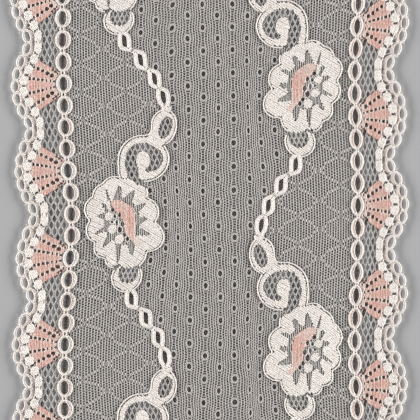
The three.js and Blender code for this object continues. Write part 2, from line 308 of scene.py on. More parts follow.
def motif_cloth(side, worked, middle, reach):
    """A motif's slanting top yarns and the bed of yarns under them. The slant isn't mirrored with the vine,
    because the carriage lays its yarns the same way on both halves of the strip."""
    top = clothwork(worked, middle, reach, side * PETAL_SLANT, PETAL_PITCH, PETAL_HEIGHT, PETAL_GIRTH)
    bed = clothwork(worked, middle, reach, LAID_ALONG, PETAL_BED_PITCH, PETAL_BED_HEIGHT, PETAL_BED_GIRTH)
    return top + bed


def polar(across, along, middle=COROLLA):
    """Turn in degrees and reach of places seen from a middle."""
    turn = np.degrees(np.arctan2(along - middle[1], across - middle[0]))
    return turn, np.hypot(across - middle[0], along - middle[1])


def place(turn, reach, middle=COROLLA):
    """The place at a turn and a reach from a middle."""
    return middle[0] + reach * np.cos(np.radians(turn)), middle[1] + reach * np.sin(np.radians(turn))


def petal_rim(turn):
    """How far the petals reach: a rounded tip between each notch and the next."""
    start = PETALS[0][0]
    table = np.array(PETALS + ((start + 360,) + PETALS[0][1:],), float)
    turn = (turn - start) % 360 + start
    row = np.clip(np.searchsorted(table[:, 0], turn, side="right") - 1, 0, len(PETALS) - 1)
    share = (turn - table[row, 0]) / (table[row + 1, 0] - table[row, 0])
    notch_line = table[row, 1] + share * (table[row + 1, 1] - table[row, 1])
    rise = table[row, 2] - (table[row, 1] + table[row + 1, 1]) / 2
    return notch_line + rise * np.sin(np.pi * share) ** PETAL_ROUNDNESS


def oval(across, along, middle, half):
    """True inside an oval with that middle and those half sizes."""
    return np.hypot((across - middle[0]) / half[0], (along - middle[1]) / half[1]) < 1


def in_slit(across, along):
    """True in the wedges of net between the petals."""
    inside = np.zeros(np.shape(across), bool)
    for open_turn, open_reach, tip_turn, tip_reach, width in SLITS:
        open_end = np.array(place(open_turn, open_reach))
        tip = np.array(place(tip_turn, tip_reach))
        length = np.hypot(*(tip - open_end))
        ahead = (tip - open_end) / length
        forward = (across - open_end[0]) * ahead[0] + (along - open_end[1]) * ahead[1]
        aside = np.abs((along - open_end[1]) * ahead[0] - (across - open_end[0]) * ahead[1])
        taper = np.clip(1 - forward / length, 0, 1) ** SLIT_TAPER
        inside |= (forward > -width) & (aside < width / 2 * taper)
    return inside


def in_corolla(across, along, room=0.0):
    """True within the petals' rim, or within some room outside it."""
    turn, reach = polar(across, along)
    return reach < petal_rim(turn) + room


def in_petals(across, along):
    """True on the petals' clothwork."""
    in_ring = oval(across, along, EYE_RING_MIDDLE, EYE_RING)
    return in_corolla(across, along) & ~in_ring & ~in_slit(across, along)


def feed(tree, node, inputs):
    """Joins or sets inputs of a node."""
    for name, value in inputs.items():
        if isinstance(value, bpy.types.NodeSocket):
            tree.links.new(value, node.inputs[name])
        else:
            node.inputs[name].default_value = value


def add_node(tree, kind, inputs=None, **settings):
    """The outputs of a new node with those settings and inputs."""
    node = tree.nodes.new(kind)
    for name, value in settings.items():
        setattr(node, name, value)
    feed(tree, node, inputs or {})
    return node.outputs


def yarn_tree():
    """Geometry Nodes that sweep a yarn along each run: thickness from girth, with its ends closed."""
    tree = bpy.data.node_groups.new("yarn along a run", "GeometryNodeTree")
    add = partial(add_node, tree)
    kinds = {"Geometry": "Geometry", "Sides": "Int", "Flatness": "Float", "Yarn": "Material"}
    for name, kind in kinds.items():
        tree.interface.new_socket(name, in_out="INPUT", socket_type="NodeSocket" + kind)
    tree.interface.new_socket("Geometry", in_out="OUTPUT", socket_type="NodeSocketGeometry")

    def remember(geometry, name, kind, value):
        inputs = {"Geometry": geometry, "Name": name, "Value": value}
        return add("GeometryNodeStoreNamedAttribute", inputs, data_type=kind)["Geometry"]

    given = add("NodeGroupInput")
    curve = add("GeometryNodeMeshToCurve", {"Mesh": given["Geometry"]})["Curve"]
    upright = add("GeometryNodeSetCurveNormal", {"Curve": curve}, mode="Z_UP")["Curve"]
    path = remember(upright, "travel", "FLOAT", add("GeometryNodeSplineParameter")["Length"])
    circle = add("GeometryNodeCurvePrimitiveCircle", {"Radius": 1.0, "Resolution": given["Sides"]})["Curve"]
    section = remember(circle, "turn", "FLOAT_VECTOR", add("GeometryNodeInputPosition")["Position"])
    squash = add("ShaderNodeCombineXYZ", {"X": 1.0, "Y": given["Flatness"], "Z": 1.0})["Vector"]
    section = add("GeometryNodeTransform", {"Geometry": section, "Scale": squash})["Geometry"]
    girth = add("GeometryNodeInputNamedAttribute", {"Name": "girth"}, data_type="FLOAT")["Attribute"]
    sweep = {"Curve": path, "Profile Curve": section, "Scale": girth, "Fill Caps": True}
    swept = add("GeometryNodeCurveToMesh", sweep)["Mesh"]
    smooth = add("GeometryNodeSetShadeSmooth", {"Geometry": swept})["Geometry"]
    real = add("GeometryNodeRealizeInstances", {"Geometry": smooth})["Geometry"]
    dressed = add("GeometryNodeSetMaterial", {"Geometry": real, "Material": given["Yarn"]})["Geometry"]
    add("NodeGroupOutput", {"Geometry": dressed})
    return tree


YARN_TREE = yarn_tree()


def knit(name, yarns, material, sides, flatness=1.0):
    """One piece of the strip, swept from its laid yarns, with a flat map of the strip for its finish."""
    rows = np.concatenate(yarns)
    last_rows = np.cumsum([len(yarn) for yarn in yarns]) - 1
    starts = np.setdiff1d(np.arange(len(rows)), last_rows)
    paths = bpy.data.meshes.new(name + "_paths")
    paths.from_pydata((rows[:, :GIRTH] * MM).tolist(), np.column_stack([starts, starts + 1]).tolist(), [])
    for attribute, values in (("girth", rows[:, GIRTH] * MM), ("blush", rows[:, BLUSH])):
        paths.attributes.new(attribute, "FLOAT", "POINT").data.foreach_set("value", values)
    piece = bpy.data.objects.new(name, paths)
    bpy.context.collection.objects.link(piece)
    sweep = piece.modifiers.new("yarn", "NODES")
    sweep.node_group = YARN_TREE
    values = {"Sides": sides, "Flatness": flatness, "Yarn": material}
    for socket in YARN_TREE.interface.items_tree:
        if socket.in_out == "INPUT" and socket.name in values:
            sweep[socket.identifier] = values[socket.name]
    view = bpy.context.evaluated_depsgraph_get()
    swept = piece.evaluated_get(view)
    mesh = bpy.data.meshes.new_from_object(swept, preserve_all_data_layers=True, depsgraph=view)
    piece.modifiers.clear()
    piece.data = mesh
    mesh.name = name
    bpy.data.meshes.remove(paths)
    flat_map = mesh.uv_layers.new(name="OFBake")
    places = np.empty(len(mesh.vertices) * 3)
    mesh.vertices.foreach_get("co", places)
    corners = np.empty(len(mesh.loops), int)
    mesh.loops.foreach_get("vertex_index", corners)
    flat = places.reshape(-1, 3)[corners, :2] / (CUT_LENGTH * MM) + 0.5
    flat_map.data.foreach_set("uv", flat.ravel())
    return piece


def belongs(piece):
    """The piece is knitted into the strip and moves with it, and the strip's plain part is hidden in its
    place.
    """
    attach(piece, "root")
    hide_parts("lace_trim")


def twisted_yarn_group():
    """Relief of a plied yarn from its slanting plies and fine fibres, and Shade: painted shade in the ply
    grooves, with random tone from fibres and slow changes.
    """
    group = bpy.data.node_groups.new("twisted yarn", "ShaderNodeTree")
    add = partial(add_node, group)
    for name in ("Twist length", "Fibre scale"):
        group.interface.new_socket(name, in_out="INPUT", socket_type="NodeSocketFloat")
    for name in ("Relief", "Shade"):
        group.interface.new_socket(name, in_out="OUTPUT", socket_type="NodeSocketFloat")

    def reckon(operation, *values):
        return add("ShaderNodeMath", dict(enumerate(values)), operation=operation)["Value"]

    given = add("NodeGroupInput")
    travel = add("ShaderNodeAttribute", attribute_name="travel")["Fac"]
    turn = add("ShaderNodeAttribute", attribute_name="turn")["Vector"]
    turn = add("ShaderNodeSeparateXYZ", {"Vector": turn})
    twist = reckon("MULTIPLY", reckon("DIVIDE", travel, given["Twist length"]), 2 * math.pi)
    ply_x = reckon("MULTIPLY", reckon("COSINE", twist), turn["X"])
    ply_y = reckon("MULTIPLY", reckon("SINE", twist), turn["Y"])
    ply = reckon("MULTIPLY_ADD", reckon("ADD", ply_x, ply_y), 0.5, 0.5)
    where = add("ShaderNodeTexCoord")["Object"]
    fibre_inputs = {"Vector": where, "Scale": given["Fibre scale"], "Detail": FIBRE_DETAIL}
    fibre = add("ShaderNodeTexNoise", fibre_inputs)["Fac"]
    tone = add("ShaderNodeTexNoise", {"Vector": where, "Scale": TONE_SCALE, "Detail": TONE_DETAIL})["Fac"]
    relief = reckon("MULTIPLY_ADD", ply, PLY_RELIEF, reckon("MULTIPLY", fibre, FIBRE_RELIEF))
    # painted shade in the ply grooves, then random tone from the fine fibres and slow changes of tone
    shade = reckon("MULTIPLY_ADD", ply, PLY_GROOVE_PAINTED_SHADE, LEAST_SHADE)
    shade = reckon("MULTIPLY_ADD", fibre, FIBRE_SHADE, shade)
    shade = reckon("MULTIPLY_ADD", tone, TONE_SHADE, shade)
    add("NodeGroupOutput", {"Relief": relief, "Shade": shade})
    return group


TWISTED_YARN = twisted_yarn_group()


def yarn_finish(name, plain, blushed_and_less_shaded, twist_length, roughness, sheen):
    """A soft yarn from a plain colour to a blushed one (on the fine net, to one with less painted shade),
    plies in relief, painted shade in their grooves.
    """
    material = bpy.data.materials.new(name)
    material.use_nodes = True
    tree = material.node_tree
    add = partial(add_node, tree)
    twist_inputs = {"Twist length": twist_length * MM, "Fibre scale": FIBRE_SCALE}
    twist = add("ShaderNodeGroup", twist_inputs, node_tree=TWISTED_YARN)
    blush = add("ShaderNodeAttribute", attribute_name="blush")["Fac"]
    dye = {"Factor": blush, "A": (*plain, 1), "B": (*blushed_and_less_shaded, 1)}
    dyed = add("ShaderNodeMix", dye, data_type="RGBA")["Result"]
    # the dyed colour times painted shade in the ply grooves and random tone
    shade = {"Factor": 1.0, "A": dyed, "B": twist["Shade"]}
    shaded = add("ShaderNodeMix", shade, data_type="RGBA", blend_type="MULTIPLY")["Result"]
    relief = twist["Relief"]
    rougher, smoother = roughness + ROUGHNESS_SPREAD, roughness - ROUGHNESS_SPREAD
    rough = add("ShaderNodeMapRange", {"Value": relief, "To Min": rougher, "To Max": smoother})["Result"]
    bump = {"Height": relief, "Strength": RELIEF_STRENGTH, "Distance": RELIEF_DEPTH * MM}
    yarn = {
        "Base Color": shaded,
        "Roughness": rough,
        "Normal": add("ShaderNodeBump", bump)["Normal"],
        "Sheen Weight": sheen,
        "Sheen Roughness": SHEEN_ROUGHNESS,
        "Specular IOR Level": YARN_SPECULAR,
    }
    feed(tree, tree.nodes["Principled BSDF"], yarn)
    return material


clothwork_yarn = yarn_finish(
    "cream clothwork yarn", CREAM, CREAM_BLUSH, twist_length=1.6, roughness=0.7, sheen=0.25
)
petal_yarns = []
petal_cords = []
for side in (RIGHT, LEFT):
    petal_yarns += on_vine(side, motif_cloth(side, in_petals, COROLLA, PETAL_LAY_REACH))
    for first, last in PETAL_CORDS:
        turns = np.linspace(first, last, (last - first) // PETAL_CORD_STEP)
        cord = run(*place(turns, petal_rim(turns) + PETAL_CORD_GAP), CORD_HEIGHT, CORD_GIRTH)
        petal_cords += on_vine(side, [cord])
petals = knit("flower_petals", petal_yarns, clothwork_yarn, sides=5, flatness=PETAL_FLATNESS)
belongs(petals)
vine_areas = [partial(in_corolla, room=PETAL_CORD_GAP + NET_ROOM)]

# Flower eyes: a crescent of salmon pink clothwork beside a web of open holes and small white lobes, in the
# oval of net that the petals leave. The pink inlay yarn is brought in only here and in the border's fans.
CRESCENT = (  # place along, then the edges across on the web's side and on the petals' side
    (11.9, 4.2, 0.4),
    (11.0, 4.1, -1.2),
    (9.2, 3.7, -3.9),
    (6.3, 1.6, -5.4),
    (4.8, 0.4, -5.9),
    (3.3, -0.6, -5.8),
    (1.1, -0.6, -5.5),
    (-1.4, -1.3, -5.4),
    (-3.0, -2.1, -5.6),
    (-4.2, -3.3, -6.2),
    (-5.3, -4.1, -7.5),
    (-6.8, -5.4, -7.8),
    (-7.6, -6.7, -7.3),
)
CRESCENT_PITCH = 0.56
CRESCENT_GIRTH = 0.28
CRESCENT_HEIGHT = 1.08
CRESCENT_BED_GIRTH = 0.42
CRESCENT_FLATNESS = 0.65
CRESCENT_CORD_ROWS = slice(2, 7)
CRESCENT_CORD_GAP = 0.3
CRESCENT_CORD_HEIGHT = 0.8
CRESCENT_CORD_GIRTH = 0.26
DEEPEST_ALONG = 4.0
DEEPEST_BLUSH = 0.75
BLUSH_FADE = 0.05
LEAST_BLUSH = 0.2
LOBES = (  # place across and along, half sizes
    (5.1, 5.1, 1.75, 1.75),
    (3.9, -0.3, 1.85, 1.8),
    (1.0, -4.5, 1.9, 2.0),
    (4.9, 9.4, 0.75, 2.3),
)
LOBE_PITCH = 0.6
LOBE_GIRTH = 0.33
LOBE_HEIGHT = 0.95
LOBE_BED_GIRTH = 0.4
LOBE_FLATNESS = 0.75
WEB_HOLES = (  # place across and along, half sizes
    (3.4, 7.7, 0.85, 0.85),
    (0.65, 5.5, 0.65, 0.95),
    (2.7, 5.1, 0.6, 0.85),
    (-0.4, 1.7, 0.85, 1.2),
    (1.9, 2.4, 0.6, 1.25),
    (3.9, 2.75, 0.65, 0.55),
    (0.75, -0.5, 0.95, 1.4),
    (-1.15, -2.7, 0.75, 0.85),
    (-2.4, -4.4, 0.75, 0.95),
)
WEB_HEIGHT = 0.7
WEB_GIRTH = 0.22
WEB_RING_PLACES = 13
EYE_LAY_REACH = 13
EYE_BED_PITCH = 0.8
EYE_BED_HEIGHT = 0.45
EYE_NET_LAY_REACH = 20
EYE_NET_PITCH = 0.82
EYE_NET_GIRTH = 0.15
EYE_NET_HEIGHTS = (0.85, 0.7)
# painted shade: the eye net's yarn is the cream darkened, for the dark seen through the open net
EYE_NET_CREAM_IN_PAINTED_SHADE = (0.57, 0.545, 0.52)
PALE_PINK = (0.74, 0.64, 0.58)
DEEP_PINK = (0.68, 0.385, 0.32)


def ring(middle, half, height, girth, count, bluntness=2.0, first=0, last=360, blush=0.0):
    """A yarn laid round an oval, or round part of it, with blunter ends for a larger bluntness."""
    turn = np.radians(np.linspace(first, last, count))
    across = middle[0] + half[0] * np.sign(np.cos(turn)) * np.abs(np.cos(turn)) ** (2 / bluntness)
    along = middle[1] + half[1] * np.sign(np.sin(turn)) * np.abs(np.sin(turn)) ** (2 / bluntness)
    return run(across, along, height, girth, blush)


def in_ovals(across, along, rows, room=0.0):
    """True inside any of some ovals, or within some room outside them."""
    inside = np.zeros(np.shape(across), bool)
    for middle_across, middle_along, half_across, half_along in rows:
        inside |= oval(across, along, (middle_across, middle_along), (half_across + room, half_along + room))
    return inside


def in_web(across, along):
    """True in the open holes beside the crescent, and on the yarns round them."""
    return in_ovals(across, along, WEB_HOLES, WEB_GIRTH)


def in_crescent(across, along):
    """True on the pink crescent."""
    upward = CRESCENT[::-1]
    web_edge = between_rows(upward, along)
    petal_edge = between_rows(upward, along, 2)
    within = (along > upward[0][0]) & (along < upward[-1][0])
    return within & (across < web_edge) & (across > petal_edge) & ~in_web(across, along)


def in_lobes(across, along):
    """True on the white lobes."""
    return in_ovals(across, along, LOBES) & ~in_web(across, along)


def crescent_blush(across, along):
    """The pink is deepest in the middle of the crescent and fades to its ends."""
    return np.maximum(DEEPEST_BLUSH - BLUSH_FADE * np.abs(along - DEEPEST_ALONG), LEAST_BLUSH)


def in_eye_net(across, along):
    """True on the fine net that fills the slits and the oval round the eye."""
    worked = in_petals(across, along) | in_crescent(across, along) | in_lobes(across, along)
    return in_corolla(across, along) & ~worked & ~in_web(across, along)


eye_net_yarn = yarn_finish(
    "cream eye net yarn", EYE_NET_CREAM_IN_PAINTED_SHADE, CREAM_BLUSH, twist_length=0.8, roughness=0.75, sheen=0.15
)
pink_yarn = yarn_finish(
    "salmon pink inlay yarn", PALE_PINK, DEEP_PINK, twist_length=1.4, roughness=0.7, sheen=0.3
)
eye_lay = partial(clothwork, middle=COROLLA, reach=EYE_LAY_REACH)
eye_bed = partial(eye_lay, pitch=EYE_BED_PITCH, height=EYE_BED_HEIGHT)
eye_net_lay = partial(
    clothwork, in_eye_net, middle=COROLLA, reach=EYE_NET_LAY_REACH, pitch=EYE_NET_PITCH, girth=EYE_NET_GIRTH
)
crescent_yarns = []
eye_yarns = []
eye_net_yarns = []
for side in (RIGHT, LEFT):
    crescent = eye_lay(
        in_crescent,
        slant=LAID_ALONG,
        pitch=CRESCENT_PITCH,
        height=CRESCENT_HEIGHT,
        girth=CRESCENT_GIRTH,
        blush=crescent_blush,
    )
    crescent += eye_bed(in_crescent, slant=LAID_ACROSS, girth=CRESCENT_BED_GIRTH, blush=crescent_blush)
    crescent_yarns += on_vine(side, crescent)
    lobes = eye_lay(
        in_lobes, slant=side * PETAL_SLANT, pitch=LOBE_PITCH, height=LOBE_HEIGHT, girth=LOBE_GIRTH
    )
    lobes += eye_bed(in_lobes, slant=LAID_ALONG, girth=LOBE_BED_GIRTH)
    for hole_across, hole_along, half_across, half_along in WEB_HOLES:
        half = (half_across + WEB_GIRTH, half_along + WEB_GIRTH)
        lobes.append(ring((hole_across, hole_along), half, WEB_HEIGHT, WEB_GIRTH, count=WEB_RING_PLACES))
    cord = np.array(CRESCENT[CRESCENT_CORD_ROWS])
    cord_across = cord[:, 2] - CRESCENT_CORD_GAP
    lobes.append(run(cord_across, cord[:, 0], CRESCENT_CORD_HEIGHT, CRESCENT_CORD_GIRTH))
    eye_net = eye_net_lay(slant=LAID_ALONG, height=EYE_NET_HEIGHTS[0])
    eye_net += eye_net_lay(slant=side * PETAL_SLANT, height=EYE_NET_HEIGHTS[1])
    eye_net_yarns += on_vine(side, eye_net)
    eye_yarns += on_vine(side, lobes)
crescents = knit("flower_crescents", crescent_yarns, pink_yarn, sides=5, flatness=CRESCENT_FLATNESS)
belongs(crescents)
eyes = knit("flower_eyes", eye_yarns, clothwork_yarn, sides=5, flatness=LOBE_FLATNESS)
belongs(eyes)
eye_nets = knit("flower_net", eye_net_yarns, eye_net_yarn, sides=4)
belongs(eye_nets)

# Scrolls: above each flower a curl of clothwork that winds into a solid core, with open diamond mesh between
# the two. The mesh is of paired yarns that part and meet again, and a fine cord runs round the outside.
SCROLL = (-10.6, 29.6)
SCROLL_BAND = (  # turn, outer reach, inner reach
    (-48, 13.6, 10.4),
    (-36, 12.2, 9.4),
    (-20, 10.5, 8.4),
    (0, 9.6, 7.5),
    (45, 9.0, 6.9),
    (90, 9.0, 6.3),
    (135, 9.0, 6.9),
    (180, 9.8, 8.2),
    (225, 9.5, 7.5),
    (250, 9.6, 6.6),
    (278, 9.6, 6.2),
    (286, 13.6, 13.6),
    (312, 13.6, 10.4),
)
OUTER, INNER = 1, 2  # the columns of the band's reaches
SCROLL_BAND_START = SCROLL_BAND[0][0]
SCROLL_BAND_END = 278
SCROLL_LAY_REACH = 14
SCROLL_CORE = (-10.3, 28.6)
SCROLL_CORE_HALF = (2.7, 3.9)
SCROLL_NECK = ((-9.4, 26.2), (-9.6, 21.6), 1.5)
SCROLL_CORDS = ((-40, 84), (150, 274))
SCROLL_CORD_STEP = 4
SCROLL_CORD_GAP = 0.7
SCROLL_MESH_REACH = 13
SCROLL_MESH_TUCK = 0.8
MESH_PITCH = 1.08
MESH_PERIOD = 4.8
MESH_STEPS = 8
MESH_SWING = 0.54
MESH_PAIR = 0.14
MESH_GIRTH = 0.165
MESH_HEIGHT = 0.6


def scroll_reach(turn, edge):
    """How far the scroll's band reaches at its outer or inner edge."""
    turn = (turn - SCROLL_BAND_START) % 360 + SCROLL_BAND_START
    return between_rows(SCROLL_BAND, turn, edge)


def along_line(across, along, line, room=0.0):
    """True within half a width, and some room, of a straight line from one place to another."""
    start, end = np.array(line[0]), np.array(line[1])
    ahead = end - start
    share = ((across - start[0]) * ahead[0] + (along - start[1]) * ahead[1]) / (ahead @ ahead)
    share = np.clip(share, 0, 1)
    off_across = across - start[0] - share * ahead[0]
    off_along = along - start[1] - share * ahead[1]
    return np.hypot(off_across, off_along) < line[2] + room


def in_scroll_cloth(across, along):
    """True on the scroll's curling band, its core and the neck that joins them."""
    turn, reach = polar(across, along, SCROLL)
    turn = (turn - SCROLL_BAND_START) % 360 + SCROLL_BAND_START
    band = (reach < scroll_reach(turn, OUTER)) & (reach > scroll_reach(turn, INNER))
    band &= turn < SCROLL_BAND_END
    core = oval(across, along, SCROLL_CORE, SCROLL_CORE_HALF) | along_line(across, along, SCROLL_NECK)
    return (band | core) & ~in_petals(across, along)


def in_scroll(across, along, room=0.0):
    """True on the whole scroll, out to its cord."""
    turn, reach = polar(across, along, SCROLL)
    return reach < scroll_reach(turn, OUTER) + room


def in_scroll_mesh(across, along):
    """True on the open mesh between the band, the core and the flower, tucked a little under the petals."""
    petal_turn, petal_reach = polar(across, along)
    beyond_petals = petal_reach > petal_rim(petal_turn) - SCROLL_MESH_TUCK
    return in_scroll(across, along) & ~in_scroll_cloth(across, along) & beyond_petals


def diamond_mesh(is_open, middle, reach, pitch, period, first_along=0.0):
    """Paired yarns that sway apart and together, so that staggered holes open between them."""
    yarns = []
    along = middle[1] + np.arange(-reach, reach, period / MESH_STEPS)
    count = int(reach / pitch)
    for column in range(-count, count + 1):
        opposite = math.pi * (column % 2)
        sway = MESH_SWING * np.cos(2 * np.pi * (along - middle[1] - first_along) / period + opposite)
        for pair in (-MESH_PAIR, MESH_PAIR):
            across = middle[0] + (column + 0.5) * pitch + sway + pair
            for first, last in stretches(is_open(across, along)):
                rows = slice(max(first - 1, 0), last + 2)
                yarns.append(run(across[rows], along[rows], MESH_HEIGHT, MESH_GIRTH))
    return [yarn for yarn in yarns if len(yarn) > 1]


scroll_yarns = []
mesh_yarns = []
vine_cords = []
for side in (RIGHT, LEFT):
    scroll_yarns += on_vine(side, motif_cloth(side, in_scroll_cloth, SCROLL, SCROLL_LAY_REACH))
    mesh = diamond_mesh(in_scroll_mesh, SCROLL, SCROLL_MESH_REACH, MESH_PITCH, MESH_PERIOD)
    mesh_yarns += on_vine(side, mesh)
    for first, last in SCROLL_CORDS:
        turns = np.linspace(first, last, (last - first) // SCROLL_CORD_STEP)
        outer = scroll_reach(turns, OUTER) + SCROLL_CORD_GAP
        vine_cords += on_vine(side, [run(*place(turns, outer, SCROLL), CORD_HEIGHT, CORD_GIRTH)])
scrolls = knit("scrolls", scroll_yarns, clothwork_yarn, sides=5, flatness=PETAL_FLATNESS)
belongs(scrolls)
vine_areas.append(partial(in_scroll, room=SCROLL_CORD_GAP + NET_ROOM))

# Side loops: a small leaning loop on the shoulder of each scroll, half clothwork in a drop shape and half
# open mesh. Its cord runs over the loop and on in one S-curve round the scroll, and a knot at its tip takes
# the chain.
LOOP = (-19.9, 42.5)
LOOP_HALF = (4.6, 6.8)
LOOP_LEAN = 12
LOOP_LAY_REACH = 11
LOOP_ROOT = ((-16.9, 41.6), (-14.5, 38.5), 1.5)
LOOP_FOOT = ((-18.8, 35.9), (-15.6, 38.2), 1.0)
LOOP_KNOT = (-21.5, 50.0)
LOOP_KNOT_HALF = (2.0, 1.7)
LOOP_KNOT_HOLE = (-22.0, 50.8)
LOOP_KNOT_HOLE_HALF = (0.5, 0.55)
LOOP_WINDOW = (-20.6, 42.2)
LOOP_WINDOW_HALF = (2.7, 4.9)
LOOP_WINDOW_LEAN = 24
LOOP_MESH_REACH = 7
LOOP_CORD_GAP = 0.6
LOOP_CORD_TURNS = (250, 12)
LOOP_CORD_PLACES = 40
LOOP_CORD_BEND = ((-14.75, 41.8), (-14.3, 40.2), (-13.0, 39.4))
SCROLL_CORD_START = (100, 84)
SCROLL_CORD_START_PLACES = 4
STRAND_STEP = 0.55
STRAND_EASE = 3


def leaning_oval(across, along, middle, half, lean):
    """True inside an oval that leans over by some degrees."""
    lean = math.radians(lean)
    aside = (across - middle[0]) * math.cos(lean) + (along - middle[1]) * math.sin(lean)
    up = (along - middle[1]) * math.cos(lean) - (across - middle[0]) * math.sin(lean)
    return np.hypot(aside / half[0], up / half[1]) < 1


def in_loop(across, along, room=0.0):
    """True on the side loop, its root and its knot, out to its cord."""
    half = (LOOP_HALF[0] + room, LOOP_HALF[1] + room)
    knot = oval(across, along, LOOP_KNOT, LOOP_KNOT_HALF)
    knot &= ~oval(across, along, LOOP_KNOT_HOLE, LOOP_KNOT_HOLE_HALF)
    loop = leaning_oval(across, along, LOOP, half, LOOP_LEAN) | knot
    for line in (LOOP_ROOT, LOOP_FOOT):
        loop |= along_line(across, along, line, room)
    return loop & ~in_scroll(across, along, room - LOOP_CORD_GAP)


def in_loop_window(across, along):
    """True on the side loop's open mesh."""
    window = leaning_oval(across, along, LOOP_WINDOW, LOOP_WINDOW_HALF, LOOP_WINDOW_LEAN)
    return window & in_loop(across, along)


def in_loop_cloth(across, along):
    """True on the side loop's clothwork."""
    return in_loop(across, along) & ~in_loop_window(across, along)


def eased(corners):
    """Even steps along a line through the corners, with the corners rounded off."""
    corners = np.array(corners, float)
    travel = np.concatenate([[0], np.cumsum(np.hypot(*np.diff(corners, axis=0).T))])
    stops = np.linspace(0, travel[-1], round(travel[-1] / STRAND_STEP))
    line = np.column_stack([np.interp(stops, travel, corners[:, axis]) for axis in (ACROSS, ALONG)])
    for _ in range(STRAND_EASE):
        line[1:-1] = (line[:-2] + 2 * line[1:-1] + line[2:]) / 4
    return line


turns = np.radians(np.linspace(*LOOP_CORD_TURNS, LOOP_CORD_PLACES))
lean = math.radians(LOOP_LEAN)
aside = (LOOP_HALF[0] + LOOP_CORD_GAP) * np.cos(turns)
up = (LOOP_HALF[1] + LOOP_CORD_GAP) * np.sin(turns)
over_across = aside * math.cos(lean) - up * math.sin(lean)
over_along = up * math.cos(lean) + aside * math.sin(lean)
over_loop = np.column_stack([over_across, over_along]) + LOOP
turns = np.linspace(*SCROLL_CORD_START, SCROLL_CORD_START_PLACES)
on_scroll = np.column_stack(place(turns, scroll_reach(turns, OUTER) + SCROLL_CORD_GAP, SCROLL))
loop_cord = eased(np.concatenate([over_loop, LOOP_CORD_BEND, on_scroll]))
loop_yarns = []
for side in (RIGHT, LEFT):
    loop_yarns += on_vine(side, motif_cloth(side, in_loop_cloth, LOOP, LOOP_LAY_REACH))
    mesh = diamond_mesh(in_loop_window, LOOP_WINDOW, LOOP_MESH_REACH, MESH_PITCH, MESH_PERIOD)
    mesh_yarns += on_vine(side, mesh)
    vine_cords += on_vine(side, [run(loop_cord[:, 0], loop_cord[:, 1], CORD_HEIGHT, CORD_GIRTH)])
side_loops = knit("side_loops", loop_yarns, clothwork_yarn, sides=5, flatness=PETAL_FLATNESS)
belongs(side_loops)
vine_areas.append(partial(in_loop, room=LOOP_CORD_GAP + NET_ROOM))

# Hanging buds: below each flower a round bud of clothwork with a window of close mesh, into which the lowest
# petal dips. The chain hangs from the bud's tip.
BUD = (-3.05, -19.8)
BUD_HALF = (5.5, 5.4)
BUD_LAY_REACH = 8
BUD_WINDOW = (-3.45, -18.3)
BUD_WINDOW_HALF = (4.2, 3.9)
BUD_MESH_REACH = 5
BUD_MESH_PITCH = 0.97
BUD_MESH_PERIOD = 4.1
BUD_MESH_START = 1.1
BUD_CORD_GAP = 0.55
BUD_CORD_TURNS = (150, 390)
BUD_CORD_PLACES = 40


def in_bud(across, along, room=0.0):
    """True on the hanging bud, out to its cord."""
    half = (BUD_HALF[0] + room, BUD_HALF[1] + room)
    return oval(across, along, BUD, half) & ~in_petals(across, along)


def in_bud_window(across, along):
    """True on the hanging bud's mesh."""
    return oval(across, along, BUD_WINDOW, BUD_WINDOW_HALF) & in_bud(across, along)


def in_bud_cloth(across, along):
    """True on the hanging bud's clothwork."""
    return in_bud(across, along) & ~in_bud_window(across, along)


bud_cord_half = (BUD_HALF[0] + BUD_CORD_GAP, BUD_HALF[1] + BUD_CORD_GAP)
first, last = BUD_CORD_TURNS
bud_cord = ring(
    BUD, bud_cord_half, CORD_HEIGHT, CORD_GIRTH, first=first, last=last, count=BUD_CORD_PLACES
)
bud_mesh = diamond_mesh(
    in_bud_window, BUD_WINDOW, BUD_MESH_REACH, BUD_MESH_PITCH, BUD_MESH_PERIOD, BUD_MESH_START
)
bud_yarns = []
for side in (RIGHT, LEFT):
    bud_yarns += on_vine(side, motif_cloth(side, in_bud_cloth, BUD, BUD_LAY_REACH))
    mesh_yarns += on_vine(side, bud_mesh)
    vine_cords += on_vine(side, [bud_cord])
hanging_buds = knit("hanging_buds", bud_yarns, clothwork_yarn, sides=5, flatness=PETAL_FLATNESS)
belongs(hanging_buds)
vine_areas.append(partial(in_bud, room=BUD_CORD_GAP + NET_ROOM))

# Chains: two plump strands of soft three-ply yarn that part into long open links and cross between them,
# from the tip of a hanging bud down to the side loop of the next repeat.
CHAIN = ((-5.6, -28.8), (-12.1, -36.6), (-17.6, -44.8), (-20.7, -52.9))
CHAIN_TOP = (-3.8, -24.4)
CHAIN_FOOT = (-21.2, -57.6)
CHAIN_FLATNESS = 0.8
LINK_HALF = 1.85
LINK_STRAIGHT = 1.5
LINK_SHOULDER = (0.8, 2.7)
LINK_LEAN = 0.1
PLY_SPREAD = (-0.46, 0.0, 0.46)
PLY_HEIGHTS = (0.75, 0.95, 0.75)
PLY_GIRTH = 0.36


def beside(line, off):
    """A line moved sideways by some distance."""
    ahead = np.gradient(line, axis=0)
    ahead /= np.hypot(*ahead.T)[:, None]
    return line + off * np.column_stack([-ahead[:, 1], ahead[:, 0]])


